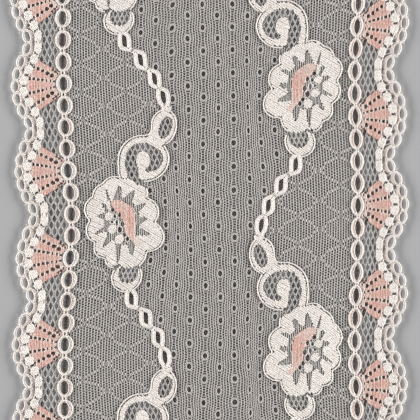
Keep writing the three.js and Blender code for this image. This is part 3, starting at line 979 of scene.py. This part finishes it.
chain = []
for way in (1, -1):
    corners = [CHAIN_TOP]
    hand = way
    for link_across, link_along in CHAIN:
        for up in (LINK_SHOULDER[1], LINK_STRAIGHT, -LINK_STRAIGHT, -LINK_SHOULDER[1]):
            reach = LINK_HALF * (LINK_SHOULDER[0] if abs(up) > LINK_STRAIGHT else 1)
            corners.append((link_across + hand * reach + LINK_LEAN * up, link_along + up))
        hand = -hand
    line = eased(corners + [CHAIN_FOOT])
    for off, height in zip(PLY_SPREAD, PLY_HEIGHTS):
        ply = beside(line, off)
        chain.append(run(ply[:, 0], ply[:, 1], height, PLY_GIRTH))
chains = knit(
    "chains", on_vine(RIGHT, chain) + on_vine(LEFT, chain), clothwork_yarn, sides=6, flatness=CHAIN_FLATNESS
)
belongs(chains)
link_ovals = [(*link, LINK_HALF, LINK_SHOULDER[1]) for link in CHAIN]
vine_areas.append(partial(in_ovals, rows=link_ovals, room=PLY_GIRTH))

# Mesh windows and outlining cords of the vines, gathered from the motifs above. The cord is a smooth bright
# yarn that the pattern bar runs just outside each motif, with a narrow gap of bare net between.
# painted shade: the mesh yarn is the cream darkened, for the dark seen through the open mesh
MESH_CREAM_IN_PAINTED_SHADE = (0.57, 0.54, 0.515)
CORD_CREAM = (0.87, 0.82, 0.77)
mesh_yarn = yarn_finish(
    "cream mesh yarn", MESH_CREAM_IN_PAINTED_SHADE, CREAM_BLUSH, twist_length=1.2, roughness=0.72, sheen=0.2
)
cord_yarn = yarn_finish(
    "bright outlining cord", CORD_CREAM, CREAM_BLUSH, twist_length=0.9, roughness=0.6, sheen=0.2
)
vine_mesh = knit("vine_mesh", mesh_yarns, mesh_yarn, sides=4)
belongs(vine_mesh)
outlining_cords = knit("outlining_cords", petal_cords + vine_cords, cord_yarn, sides=6)
belongs(outlining_cords)

# Beading: a row of long open eyelets along each border, for threading a ribbon. A bright cord runs round
# each eyelet outside two softer yarns, and the cords cross between eyelets about a tiny hole. The left row
# is wider.
SCALLOP = 36.0
PEAK_ALONG = 0.6
SCALLOPS = range(-4, 4)
EYELETS = 4
EYELET_PITCH = SCALLOP / EYELETS
BEADING_ACROSS = 59.5
BEADING_FLATNESS = 0.85
BEADING_TINGE = 0.35
EYELET_HOLE = {RIGHT: (1.15, 3.0), LEFT: (1.62, 2.95)}
EYELET_BLUNTNESS = {RIGHT: 1.85, LEFT: 2.1}
EYELET_CORD = {RIGHT: (2.5, 4.0), LEFT: (2.95, 3.65)}
EYELET_CORD_OFF = {RIGHT: -0.25, LEFT: -0.4}
EYELET_CORD_HEIGHT = 0.98
EYELET_CORD_GIRTH = 0.26
EYELET_CORD_PLACES = 29
EYELET_BANDS = ((0.68, 0.66), (0.3, 0.6))  # share of the way from the hole to the cord, height
EYELET_BAND_GIRTH = 0.3
EYELET_BAND_PLACES = 25
KNOT_HALF = {RIGHT: (0.48, 0.62), LEFT: (0.72, 0.95)}
KNOT_HEIGHT = 0.85
KNOT_GIRTH = 0.3
KNOT_PLACES = 11
KNOT_ARM = (1.3, 1.4)
KNOT_ARM_START = (0.15, 0.4)
KNOT_ARM_HEIGHT = 0.95
KNOT_ARM_PLACES = 4


def on_border(side, yarns):
    """Yarns given from a scallop's peak, placed on every scallop of that border."""
    placed = []
    for scallop in SCALLOPS:
        placed += lay_all(side, yarns, (0, PEAK_ALONG + scallop * SCALLOP, 0, 0, 0))
    return placed


def beading_edge(side, aside):
    """How far the beading's cord stands off the row's middle line."""
    from_eyelet = np.abs((aside / EYELET_PITCH + 0.5) % 1 - 0.5) * EYELET_PITCH
    half, bluntness = EYELET_CORD[side], EYELET_BLUNTNESS[side]
    within = np.clip(from_eyelet / half[1], 0, 1)
    return np.maximum(half[0] * (1 - within ** bluntness) ** (1 / bluntness), KNOT_HALF[side][0])


def eyelet_yarns(side, middle, tinge):
    """The cord and the softer yarns round one eyelet."""
    hole, cord = np.array(EYELET_HOLE[side]), np.array(EYELET_CORD[side])
    off = np.array([EYELET_CORD_OFF[side], 0])
    round_hole = partial(ring, bluntness=EYELET_BLUNTNESS[side])
    yarns = [
        round_hole(middle + off, cord, EYELET_CORD_HEIGHT, EYELET_CORD_GIRTH, count=EYELET_CORD_PLACES)
    ]
    for share, height in EYELET_BANDS:
        band = hole + (cord - hole) * share
        soft = partial(round_hole, count=EYELET_BAND_PLACES, blush=tinge)
        yarns.append(soft(middle + share * off, band, height, EYELET_BAND_GIRTH))
    return yarns


def knot_yarns(side, middle, tinge):
    """The tiny hole between two eyelets and the four arms of the cords that cross there."""
    yarns = [ring(middle, KNOT_HALF[side], KNOT_HEIGHT, KNOT_GIRTH, count=KNOT_PLACES, blush=tinge)]
    for arm_across in (KNOT_ARM[0], -KNOT_ARM[0]):
        for arm_along in (KNOT_ARM[1], -KNOT_ARM[1]):
            start = (KNOT_ARM_START[0] * arm_across, KNOT_ARM_START[1] * arm_along)
            arm = np.linspace(start, (arm_across, arm_along), KNOT_ARM_PLACES) + middle
            yarns.append(run(arm[:, 0], arm[:, 1], KNOT_ARM_HEIGHT, KNOT_GIRTH))
    return yarns


beading_yarns = []
for side in (RIGHT, LEFT):
    beading = []
    for eyelet in range(EYELETS):
        middle = np.array([BEADING_ACROSS, (eyelet - 1) * EYELET_PITCH])
        tinge = BEADING_TINGE * chance.uniform(0, 1)
        beading += eyelet_yarns(side, middle, tinge)
        beading += knot_yarns(side, middle + (0, EYELET_PITCH / 2), tinge)
    beading_yarns += on_border(side, beading)
beading_row = knit("beading", beading_yarns, clothwork_yarn, sides=6, flatness=BEADING_FLATNESS)
belongs(beading_row)

# Fans: in each scallop a fan of salmon pink clothwork opens from the beading to the border's buds. Rows of
# small holes, larger towards the rim, divide it into five ribs.
FAN_SIDE = ((60.4, 4.6), (69.6, 10.6))
FAN_RIM = ((0.0, 74.4), (2.3, 74.2), (7.0, 71.9), (11.0, 69.8))
FAN_DOT_ROWS = (  # first place across and aside, last place across and aside, half size of each hole
    ((62.9, 1.15), (73.1, 3.15), (0.5, 0.5, 0.56, 0.64, 0.6, 0.62, 0.78)),
    ((63.9, 3.7), (71.4, 8.2), (0.82, 0.84, 0.7, 0.72, 0.76)),
    ((61.7, 4.3), (63.4, 6.0), (0.5, 0.5, 0.56)),
)
RIB_ROWS = FAN_DOT_ROWS[:2]
RIB_HALF = 1.4
FAN_START = 60.0
FAN_STRETCH = {RIGHT: 1.0, LEFT: 1.045}
FAN_MIDDLE = (67, 0)
FAN_LAY_REACH = 12
FAN_PITCH = 0.62
FAN_GIRTH = FAN_PITCH * 0.44
FAN_HEIGHT = 0.85
FAN_BED_PITCH = 0.8
FAN_BED_HEIGHT = 0.42
FAN_BED_GIRTH = 0.34
FAN_FLATNESS = 0.65
FAN_BLUSH = (0.12, 0.78)  # the least, and how much more in the middle of a rib
FAN_BLUSH_START = (2, 6, 0.4)  # gap from the beading, how far it takes to deepen, share before that
FAN_BLUSH_RIM = (76.5, 0.35, 3)  # where it ends at the peak, fall for each millimetre aside, how far it fades


def fan_dots():
    """Place across, place aside and half size of each hole in one half of a fan."""
    for first, last, halves in FAN_DOT_ROWS:
        for share, half in zip(np.linspace(0, 1, len(halves)), halves):
            yield first[0] + (last[0] - first[0]) * share, first[1] + (last[1] - first[1]) * share, half


def in_fan_sector(across, aside):
    """True between a fan's two sides."""
    return np.abs(aside) < between_rows(FAN_SIDE, across)


def in_fan(across, aside, side):
    """True on a fan's pink clothwork."""
    cloth = across > BEADING_ACROSS + beading_edge(side, aside) + EYELET_CORD_GIRTH
    across = FAN_START + (across - FAN_START) / FAN_STRETCH[side]
    cloth &= (across < between_rows(FAN_RIM, np.abs(aside))) & in_fan_sector(across, aside)
    for dot_across, dot_aside, half in fan_dots():
        cloth &= ~oval(across, np.abs(aside), (dot_across, dot_aside), (half, half))
    return cloth


def fan_blush(across, aside):
    """Deepest pink in the middle of each rib, away from the beading."""
    off_row = np.full(np.shape(across), np.inf)
    for first, last, halves in RIB_ROWS:
        row_aside = between_rows((first, last), across)
        off_row = np.minimum(off_row, np.abs(np.abs(aside) - row_aside))
    least, depth = FAN_BLUSH
    gap, deepening, start = FAN_BLUSH_START
    end, fall, fading = FAN_BLUSH_RIM
    outward = np.clip((across - BEADING_ACROSS - gap) / deepening, 0, 1)
    to_rim = np.clip((end - fall * np.abs(aside) - across) / fading, 0, 1)
    in_rib = np.clip(off_row / RIB_HALF, 0, 1)
    return np.clip(least + depth * in_rib * (start + (1 - start) * outward) * to_rim, 0, 1)


fan_yarns = []
for side in (RIGHT, LEFT):
    fan_lay = partial(clothwork, partial(in_fan, side=side), FAN_MIDDLE, FAN_LAY_REACH, blush=fan_blush)
    fan = fan_lay(slant=LAID_ALONG, pitch=FAN_PITCH, height=FAN_HEIGHT, girth=FAN_GIRTH)
    fan += fan_lay(slant=LAID_ACROSS, pitch=FAN_BED_PITCH, height=FAN_BED_HEIGHT, girth=FAN_BED_GIRTH)
    fan_yarns += on_border(side, fan)
fans = knit("fans", fan_yarns, pink_yarn, sides=5, flatness=FAN_FLATNESS)
belongs(fans)

# Border buds: a row of plump white blocks of clothwork that follows the scallop outside the fans and the
# mesh, parted by short gaps.
BORDER_BUDS = {  # place aside and across, half sizes across and aside
    RIGHT: (
        (2.3, 75.1, 1.8, 1.85),
        (6.9, 72.9, 1.7, 1.95),
        (11.1, 70.5, 1.6, 1.95),
        (15.6, 69.0, 1.45, 2.25),
    ),
    LEFT: (
        (2.3, 76.0, 1.8, 1.85),
        (6.9, 73.9, 1.7, 1.95),
        (11.1, 71.6, 1.6, 1.95),
        (15.6, 69.8, 1.45, 2.25),
    ),
}
BORDER_BUD_CORNER = 2.6
BORDER_BUD_MIDDLE = (72, 0)
BORDER_BUD_LAY_REACH = 20
BORDER_BUD_SLANT = 62
BORDER_BUD_PITCH = 0.62
BORDER_BUD_HEIGHT = 0.95
BORDER_BUD_GIRTH = 0.35
BORDER_BUD_BED_PITCH = 0.8
BORDER_BUD_BED_HEIGHT = 0.5
BORDER_BUD_BED_GIRTH = 0.42
BORDER_BUD_FLATNESS = 0.65
BUD_LINE_PEAK = {RIGHT: 75.6, LEFT: 76.5}
BUD_LINE_CORDS = (-1.15, 1.15)
BUD_LINE_CORD_HEIGHT = 0.62
BUD_LINE_CORD_GIRTH = 0.26
BUD_LINE_PLACES = 46


def bud_line(aside, side):
    """How far out the middle of the row of buds lies."""
    buds = [row[:2] for row in BORDER_BUDS[side]]
    line = [(0, BUD_LINE_PEAK[side]), *buds, (SCALLOP / 2, buds[-1][1])]
    return between_rows(line, np.abs(aside))


def in_border_bud(across, aside, side):
    """True on one of the blocks."""
    inside = np.zeros(np.shape(across), bool)
    for bud_aside, bud_across, half_across, half_aside in BORDER_BUDS[side]:
        off_across = np.abs(across - bud_across) / half_across
        off_aside = np.abs(np.abs(aside) - bud_aside) / half_aside
        inside |= off_across ** BORDER_BUD_CORNER + off_aside ** BORDER_BUD_CORNER < 1
    return inside


bud_line_aside = np.linspace(-SCALLOP / 2, SCALLOP / 2, BUD_LINE_PLACES)
border_bud_yarns = []
for side in (RIGHT, LEFT):
    bud_lay = partial(clothwork, partial(in_border_bud, side=side), BORDER_BUD_MIDDLE, BORDER_BUD_LAY_REACH)
    border_buds = bud_lay(BORDER_BUD_SLANT, BORDER_BUD_PITCH, BORDER_BUD_HEIGHT, BORDER_BUD_GIRTH)
    border_buds += bud_lay(LAID_ACROSS, BORDER_BUD_BED_PITCH, BORDER_BUD_BED_HEIGHT, BORDER_BUD_BED_GIRTH)
    for off in BUD_LINE_CORDS:
        cord_across = bud_line(bud_line_aside, side) + off
        border_buds.append(run(cord_across, bud_line_aside, BUD_LINE_CORD_HEIGHT, BUD_LINE_CORD_GIRTH))
    border_bud_yarns += on_border(side, border_buds)
bud_row = knit("border_buds", border_bud_yarns, clothwork_yarn, sides=5, flatness=BORDER_BUD_FLATNESS)
belongs(bud_row)

# Border mesh: open diamond mesh of paired yarns between each fan and the next, from the beading to the buds,
# with short bridges from the buds out to the picots.
VALLEY = (66.0, SCALLOP / 2)
VALLEY_REACH = 15
VALLEY_PITCH = {RIGHT: 1.1, LEFT: 1.22}
VALLEY_PERIOD = SCALLOP / 7
VALLEY_START = -1.9
BUD_LINE_GAP = 1.0
RIM_BRIDGES = 18
RIM_BRIDGE_SKEW = 0.3
RIM_BRIDGE_HEIGHT = 0.55
RIM_BRIDGE_GIRTH = 0.24
PICOT_GAP = 1.2
PICOT_PEAK = {RIGHT: 78.7, LEFT: 79.05}
PICOT_FALL = {RIGHT: 7.0, LEFT: 6.7}
PICOT_FALL_POWER = 1.8


def in_valley(across, aside, side):
    """True on the open mesh between two fans."""
    from_peak = (aside + SCALLOP / 2) % SCALLOP - SCALLOP / 2
    start = BEADING_ACROSS + beading_edge(side, aside)
    inner = (across > start) & (across < bud_line(from_peak, side) - BUD_LINE_GAP)
    return inner & ~in_fan_sector(across, from_peak)


def picot_line(aside, side):
    """The middle of the row of picots: a rounded scallop."""
    from_peak = (aside + SCALLOP / 2) % SCALLOP - SCALLOP / 2
    return PICOT_PEAK[side] - PICOT_FALL[side] * (np.abs(from_peak) / (SCALLOP / 2)) ** PICOT_FALL_POWER


border_mesh_yarns = []
for side in (RIGHT, LEFT):
    in_own_valley = partial(in_valley, side=side)
    mesh = diamond_mesh(in_own_valley, VALLEY, VALLEY_REACH, VALLEY_PITCH[side], VALLEY_PERIOD, VALLEY_START)
    for bridge in np.linspace(-SCALLOP / 2, SCALLOP / 2, RIM_BRIDGES, endpoint=False):
        ends_across = np.array([bud_line(bridge, side) + BUD_LINE_GAP, picot_line(bridge, side) - PICOT_GAP])
        ends_aside = [bridge - RIM_BRIDGE_SKEW, bridge + RIM_BRIDGE_SKEW]
        mesh.append(run(ends_across, ends_aside, RIM_BRIDGE_HEIGHT, RIM_BRIDGE_GIRTH))
    border_mesh_yarns += on_border(side, mesh)
valley_mesh = knit("border_mesh", border_mesh_yarns, mesh_yarn, sides=4)
belongs(valley_mesh)

# Picots: the scalloped rim of open loops. A plump outer strand and a double inner strand run round each loop
# and overlap between loops, with a few cut fibre ends at the outer crossings.
PICOTS = 7
PICOT_TILT = 0.55
PICOT_SLOPE_STEP = 1.0
PICOT_STRANDS = (  # half sizes outward and along the rim, height, girth, first and last turn
    ((2.15, 2.9), 0.85, 0.26, -110, 110),
    ((1.55, 2.6), 0.75, 0.22, -95, 95),
    ((0.98, 2.25), 0.7, 0.24, 70, 290),
    ((1.5, 2.65), 0.6, 0.25, 90, 270),
    ((2.0, 2.8), 0.5, 0.25, 100, 260),
)
PICOT_BLUNTNESS = 1.9
PICOT_PLACES = 17
PICOT_TINGE = 0.3
PICOT_FLATNESS = 0.85
HAIRS = 9
HAIR_START = 0.6
HAIR_REACH = (0.3, 1.0, 1.7)
HAIR_LENGTHS = (0.6, 1.2)
HAIR_SPREAD = 0.6
HAIR_BEND = 0.5
HAIR_HEIGHT = 0.6
HAIR_GIRTH = 0.07


def facing_out(aside, side, local):
    """A yarn given outward and along the rim, turned and moved to its place on the scallop."""
    rise = picot_line(aside + PICOT_SLOPE_STEP / 2, side) - picot_line(aside - PICOT_SLOPE_STEP / 2, side)
    tilt = PICOT_TILT * math.atan(-rise / PICOT_SLOPE_STEP)
    turned = local.copy()
    outward, onward = local[:, 0], local[:, 1]
    turned[:, ACROSS] = picot_line(aside, side) + outward * math.cos(tilt) - onward * math.sin(tilt)
    turned[:, ALONG] = aside + outward * math.sin(tilt) + onward * math.cos(tilt)
    return turned


def picot_rim_yarns(side):
    """The strands of one scallop's picots and the fibre ends between them."""
    yarns = []
    for picot in range(PICOTS):
        aside = (picot - PICOTS // 2) * SCALLOP / PICOTS
        for half, height, girth, first, last in PICOT_STRANDS:
            tinge = PICOT_TINGE * chance.uniform(0, 1) if first > 0 else 0
            strand = ring((0, 0), half, height, girth, PICOT_PLACES, PICOT_BLUNTNESS, first, last, tinge)
            yarns.append(facing_out(aside, side, strand))
    for crossing in range(1, PICOTS):
        aside = (crossing - PICOTS / 2) * SCALLOP / PICOTS
        for _ in range(HAIRS):
            reach = np.array(HAIR_REACH) * chance.uniform(*HAIR_LENGTHS)
            lean = chance.uniform(-HAIR_SPREAD, HAIR_SPREAD)
            bend = chance.uniform(-HAIR_BEND, HAIR_BEND)
            fibre = run(HAIR_START + reach, lean + bend * reach, HAIR_HEIGHT, HAIR_GIRTH)
            yarns.append(facing_out(aside, side, fibre))
    return yarns


picot_yarns = []
for side in (RIGHT, LEFT):
    picot_yarns += on_border(side, picot_rim_yarns(side))
picot_rim = knit("picots", picot_yarns, clothwork_yarn, sides=6, flatness=PICOT_FLATNESS)
belongs(picot_rim)

# Side grounds: fine warp-knitted net between each vine and its beading. Wales sway to and fro between
# staggered holes, short bridges tie each wale to the next, and thick yarns close some cells along faint
# diamonds.
SIDE_COURSE = REPEAT / 99
SIDE_WALE_PITCH = 1.12
SIDE_ORIGIN = (43.1, 3.1)
SIDE_COLUMNS = {RIGHT: range(-24, 15), LEFT: range(-15, 24)}
NET_HEIGHT = 0.55
NET_JITTER = 0.02
NET_SPARE = 4.0
# painted shade: the fine net's yarn is its cream darkened, for the dark seen through the open net; the next
# colour is a copy with less of it
NET_CREAM_IN_PAINTED_SHADE = (0.50, 0.47, 0.445)
NET_LESS_SHADED_CREAM = (0.80, 0.76, 0.72)
WALE_GIRTH = 0.2
WALE_SWAY = 0.13
BRIDGE_GIRTH = 0.165
BRIDGE_HEIGHT = 0.54
DIAMONDS = range(-12, 13)
DIAMOND_COLUMNS = 8
DIAMOND_COURSES = 11
FILL_HALF = 0.5
FILL_CORNER_HALF = 0.95
FILL_GIRTHS = (0.15, 0.32, 0.15)
# how far the thick fills go towards the copy of the net's cream with less painted shade
FILL_LESS_PAINTED_SHADE = 0.5
OPEN_COURSES = 1
LIP_COURSES = 2
LIP_GIRTH = 0.36
VINE_LINE = (  # place along and across from the flower's eye
    (-57.4, -21.2),
    (-52.9, -21.1),
    (-44.8, -17.7),
    (-36.6, -12.1),
    (-28.8, -5.6),
    (-19.6, -3.8),
    (0.0, 0.0),
    (20.0, -4.0),
    (29.6, -10.6),
    (43.4, -20.5),
    (50.6, -21.4),
)
VINE_START = VINE_LINE[0][0]


def from_eye(side, across, along):
    """Places on one half of the strip, seen from the eye of the nearest flower below the side loop."""
    own_along = along - FLOWER_EYE[1] - MOVED_ON[side]
    return side * across - FLOWER_EYE[0], (own_along - VINE_START) % REPEAT + VINE_START


def outside_vine(side, across, along):
    """True between the vine of that half and its border."""
    eye_across, eye_along = from_eye(side, across, along)
    return eye_across > between_rows(VINE_LINE, eye_along)


def in_motif(side, across, along):
    """True where a motif of that half's vine takes the net's place."""
    eye_across, eye_along = from_eye(side, across, along)
    inside = np.zeros(np.shape(across), bool)
    for area in vine_areas:
        inside |= area(eye_across, eye_along) | area(eye_across, eye_along + REPEAT)
    return inside


def in_side_ground(across, along, side):
    """True on the net of a side ground."""
    edge = BEADING_ACROSS - beading_edge(side, along - PEAK_ALONG - MOVED_ON[side])
    return outside_vine(side, across, along) & (side * across < edge) & ~in_motif(side, across, along)


def knit_net(in_ground, columns, pitch, course, origin, push=None, courses_off=None):
    """Wales that sway between staggered holes, and the bridges of each course. Where eyelets push the wales
    aside, the bridges across them are left out and those beside them thickened. Returns the yarns and the
    number of cells."""
    yarns = []
    cells = 0
    spare = CUT_LENGTH / 2 + NET_SPARE
    step = course / 2
    half_courses = np.arange(math.ceil((-spare - origin[1]) / step), math.floor((spare - origin[1]) / step))
    along = origin[1] + half_courses * step
    for column in columns:
        staggered = (half_courses + column) % 2
        wale = np.full(len(along), origin[0] + (column + 0.5) * pitch)
        kept = in_ground(wale, along)
        across = wale + WALE_SWAY * (1 - 2 * staggered) + NET_JITTER * chance.uniform(-1, 1, len(along))
        if push is not None:
            across += push(wale, along)
        for first, last in stretches(kept):
            rows = slice(max(first - 1, 0), last + 2)
            yarns.append(run(across[rows], along[rows], NET_HEIGHT, WALE_GIRTH))
        hole = origin[0] + column * pitch
        bridge_along = np.repeat(along[staggered == 1, None], 3, axis=1)
        bridge = np.tile([hole - pitch / 2, hole, hole + pitch / 2], (len(bridge_along), 1))
        kept = in_ground(bridge, bridge_along).all(axis=1)
        cells += np.count_nonzero(kept)
        girths = np.full(len(bridge), BRIDGE_GIRTH)
        if push is not None:
            off = courses_off(column, bridge_along[:, 0])
            kept &= off > OPEN_COURSES
            girths[off < LIP_COURSES] = LIP_GIRTH
            bridge += push(bridge, bridge_along)
        for places, places_along, girth in zip(bridge[kept], bridge_along[kept], girths[kept]):
            yarns.append(run(places, places_along, BRIDGE_HEIGHT, girth))
    return yarns, cells


def diamond_fills(side, in_ground):
    """Short thick yarns that close the cells along the diamonds' lines."""
    yarns = []
    for column in SIDE_COLUMNS[RIGHT]:
        step = abs((column + DIAMOND_COLUMNS) % (2 * DIAMOND_COLUMNS) - DIAMOND_COLUMNS)
        drop = step / DIAMOND_COLUMNS * DIAMOND_COURSES / 2
        half = SIDE_COURSE * (FILL_CORNER_HALF if step in (0, DIAMOND_COLUMNS) else FILL_HALF)
        stagger = 0.5 * (column % 2)
        across = side * (SIDE_ORIGIN[0] + column * SIDE_WALE_PITCH)
        for diamond in DIAMONDS:
            for way in (1, -1):
                course = round(diamond * DIAMOND_COURSES + way * drop - stagger) + stagger
                along = SIDE_ORIGIN[1] + MOVED_ON[side] + course * SIDE_COURSE
                places = np.array([along - half, along, along + half])
                if in_ground(np.full(3, across), places).all():
                    yarns.append(run(across, places, NET_HEIGHT, FILL_GIRTHS, FILL_LESS_PAINTED_SHADE))
    return yarns


# the net yarn goes from its cream in painted shade to a copy with less of it, not to pink
net_yarn = yarn_finish(
    "fine cream net yarn", NET_CREAM_IN_PAINTED_SHADE, NET_LESS_SHADED_CREAM, twist_length=0.8, roughness=0.75, sheen=0.15
)
for side, name in ((RIGHT, "right_ground"), (LEFT, "left_ground")):
    origin = (side * SIDE_ORIGIN[0], SIDE_ORIGIN[1] + MOVED_ON[side])
    in_ground = partial(in_side_ground, side=side)
    net, cells = knit_net(in_ground, SIDE_COLUMNS[side], SIDE_WALE_PITCH, SIDE_COURSE, origin)
    net += diamond_fills(side, in_ground)
    ground = knit(name, lay_all(RIGHT, net, 0), net_yarn, sides=4)
    belongs(ground)

# Middle ground: the same net between the two vines, with a lattice of round eyelets that bend the wales
# aside. It is knitted in one with the rest, and made here in two halves.
MIDDLE_COURSE = 1.0665
MIDDLE_WALE_PITCH = 1.205
MIDDLE_ORIGIN = (2.6, 3.0)
LATTICE_COLUMNS = 10
LATTICE_COURSES = 9
LATTICE_ACROSS = LATTICE_COLUMNS * MIDDLE_WALE_PITCH
LATTICE_ALONG = LATTICE_COURSES * MIDDLE_COURSE
LATTICE_ROWS = range(-11, 11)
MIDDLE_HALVES = (  # name, columns of cells, columns of eyelets
    ("middle_ground_right", range(0, 34), range(0, 7)),
    ("middle_ground_left", range(-38, 0), range(-7, 0)),
)
NET_EYELET_HALF = (1.15, 1.42)
NET_EYELET_GIRTH = 0.25
# how far the eyelet rims go towards the copy of the net's cream with less painted shade
NET_EYELET_LESS_PAINTED_SHADE = 0.2
NET_EYELET_PLACES = 13
BEND = (  # how far a wale lies from the nearest eyelet's middle, and how far it is bent aside there
    (0, 0.0),
    (0.6, 0.68),
    (1.2, 0.58),
    (1.8, 0.46),
    (2.4, 0.32),
    (3.0, 0.15),
    (3.6, 0.0),
)
BEND_ALONG = 2.5


def in_middle_ground(across, along):
    """True on the net between the two vines."""
    vines = outside_vine(RIGHT, across, along) | outside_vine(LEFT, across, along)
    return ~vines & ~in_motif(RIGHT, across, along) & ~in_motif(LEFT, across, along)


def push_aside(across, along):
    """How far the eyelets bend a wale, most at an eyelet's own course."""
    push = np.zeros(np.shape(across))
    for half in (0, 0.5):
        off_across = (across - MIDDLE_ORIGIN[0] + LATTICE_ACROSS * (0.5 - half)) % LATTICE_ACROSS
        off_across -= LATTICE_ACROSS / 2
        off_along = (along - MIDDLE_ORIGIN[1] + LATTICE_ALONG * (0.5 - half)) % LATTICE_ALONG
        off_along -= LATTICE_ALONG / 2
        nearness = np.exp(-(off_along / BEND_ALONG) ** 2)
        push += np.sign(off_across) * between_rows(BEND, np.abs(off_across)) * nearness
    return push


def eyelet_rim(across, along):
    """The yarn round an eyelet with that middle."""
    return ring(
        (across, along),
        NET_EYELET_HALF,
        NET_HEIGHT,
        NET_EYELET_GIRTH,
        count=NET_EYELET_PLACES,
        blush=NET_EYELET_LESS_PAINTED_SHADE,
    )


def has_room(rim):
    """True where the middle ground goes all the way round an eyelet's rim."""
    return in_middle_ground(rim[:, ACROSS], rim[:, ALONG]).all()


def courses_from_eyelet(column, along):
    """How many courses each cell of a column lies from the nearest eyelet in that column."""
    far = np.full(len(along), float(LATTICE_COURSES))
    if column % (LATTICE_COLUMNS // 2):
        return far
    half = 0.5 if column % LATTICE_COLUMNS else 0
    rows = np.round((along - MIDDLE_ORIGIN[1]) / LATTICE_ALONG - half) + half
    middles = rows * LATTICE_ALONG + MIDDLE_ORIGIN[1]
    across = MIDDLE_ORIGIN[0] + column * MIDDLE_WALE_PITCH
    for cell, middle in enumerate(middles):
        if has_room(eyelet_rim(across, middle)):
            far[cell] = abs(along[cell] - middle) / MIDDLE_COURSE
    return far


for name, columns, eyelet_columns in MIDDLE_HALVES:
    middle_net = partial(knit_net, push=push_aside, courses_off=courses_from_eyelet)
    net, cells = middle_net(in_middle_ground, columns, MIDDLE_WALE_PITCH, MIDDLE_COURSE, MIDDLE_ORIGIN)
    for column in eyelet_columns:
        for row in LATTICE_ROWS:
            eyelet_across = MIDDLE_ORIGIN[0] + column * LATTICE_COLUMNS / 2 * MIDDLE_WALE_PITCH
            eyelet_along = MIDDLE_ORIGIN[1] + (row + 0.5 * (column % 2)) * LATTICE_COURSES * MIDDLE_COURSE
            rim = eyelet_rim(eyelet_across, eyelet_along)
            if has_room(rim):
                net.append(rim)
    ground = knit(name, lay_all(RIGHT, net, 0), net_yarn, sides=4)
    belongs(ground)

others = [petals, crescents, eyes, eye_nets, scrolls, side_loops, hanging_buds, chains]
others += [vine_mesh, outlining_cords, beading_row, fans, bud_row, valley_mesh, picot_rim]

# Studio: a plain pale floor just under the strip, long soft lights low on either side that draw out the
# relief, a weak light from above, and a camera straight over the strip, framed as the photograph is.
FLOOR_HALF = 0.9
FLOOR_DROP = 0.0002
FLOOR_GREY = (0.36, 0.36, 0.365)
FLOOR_MOTTLE = 1.04
FLOOR_MOTTLE_SCALE = 40.0
FLOOR_ROUGHNESS = 0.9
SIDE_LIGHT_SIZE = (0.9, 0.22)
SIDE_LIGHT_POWER = 13.0
AIR_LIGHT = 0.012
FRAME_WIDTH = 0.1722
FRAME_MIDDLE_X = -0.00056
LENS = 150.0
SENSOR = 36.0
floor_mesh = bpy.data.meshes.new("floor")
corners = [(x * FLOOR_HALF, y * FLOOR_HALF, -FLOOR_DROP) for x, y in ((-1, -1), (1, -1), (1, 1), (-1, 1))]
floor_mesh.from_pydata(corners, [], [(0, 1, 2, 3)])
floor = bpy.data.objects.new("floor", floor_mesh)
bpy.context.collection.objects.link(floor)
card = bpy.data.materials.new("pale floor card")
card.use_nodes = True
card_tree = card.node_tree
card_where = add_node(card_tree, "ShaderNodeTexCoord")["Object"]
mottle = add_node(card_tree, "ShaderNodeTexNoise", {"Vector": card_where, "Scale": FLOOR_MOTTLE_SCALE})["Fac"]
tones = {"Factor": mottle, "A": (*FLOOR_GREY, 1), "B": (*[tone * FLOOR_MOTTLE for tone in FLOOR_GREY], 1)}
card_tone = add_node(card_tree, "ShaderNodeMix", tones, data_type="RGBA")["Result"]
feed(card_tree, card_tree.nodes["Principled BSDF"], {"Base Color": card_tone, "Roughness": FLOOR_ROUGHNESS})
floor_mesh.materials.append(card)


def soft_light(name, stand, size, power):
    """A rectangular soft light that points at the strip's middle."""
    light = bpy.data.lights.new(name, "AREA")
    light.shape = "RECTANGLE"
    light.size, light.size_y = size
    light.energy = power
    lamp = bpy.data.objects.new(name, light)
    lamp.location = stand
    lamp.rotation_euler = (-lamp.location).to_track_quat("-Z", "Y").to_euler()
    bpy.context.collection.objects.link(lamp)


soft_light("left light", stand=(-0.75, 0.0, 0.24), size=SIDE_LIGHT_SIZE, power=SIDE_LIGHT_POWER)
soft_light("right light", stand=(0.75, 0.0, 0.24), size=SIDE_LIGHT_SIZE, power=SIDE_LIGHT_POWER)
soft_light("far light", stand=(0.0, 0.8, 0.3), size=(0.9, 0.25), power=0.9)
soft_light("overhead light", stand=(0.0, -0.2, 0.9), size=(0.6, 0.6), power=0.05)
world = bpy.data.worlds.new("studio air")
world.use_nodes = True
air = {"Color": (1, 1, 1, 1), "Strength": AIR_LIGHT}
feed(world.node_tree, world.node_tree.nodes["Background"], air)
bpy.context.scene.world = world
bpy.context.scene.view_settings.view_transform = "Standard"
eye = bpy.data.cameras.new("straight over the strip")
eye.lens = LENS
eye.sensor_width = SENSOR
camera = bpy.data.objects.new("straight over the strip", eye)
camera.location = (FRAME_MIDDLE_X, 0.0, FRAME_WIDTH * LENS / SENSOR)
bpy.context.collection.objects.link(camera)
bpy.context.scene.camera = camera
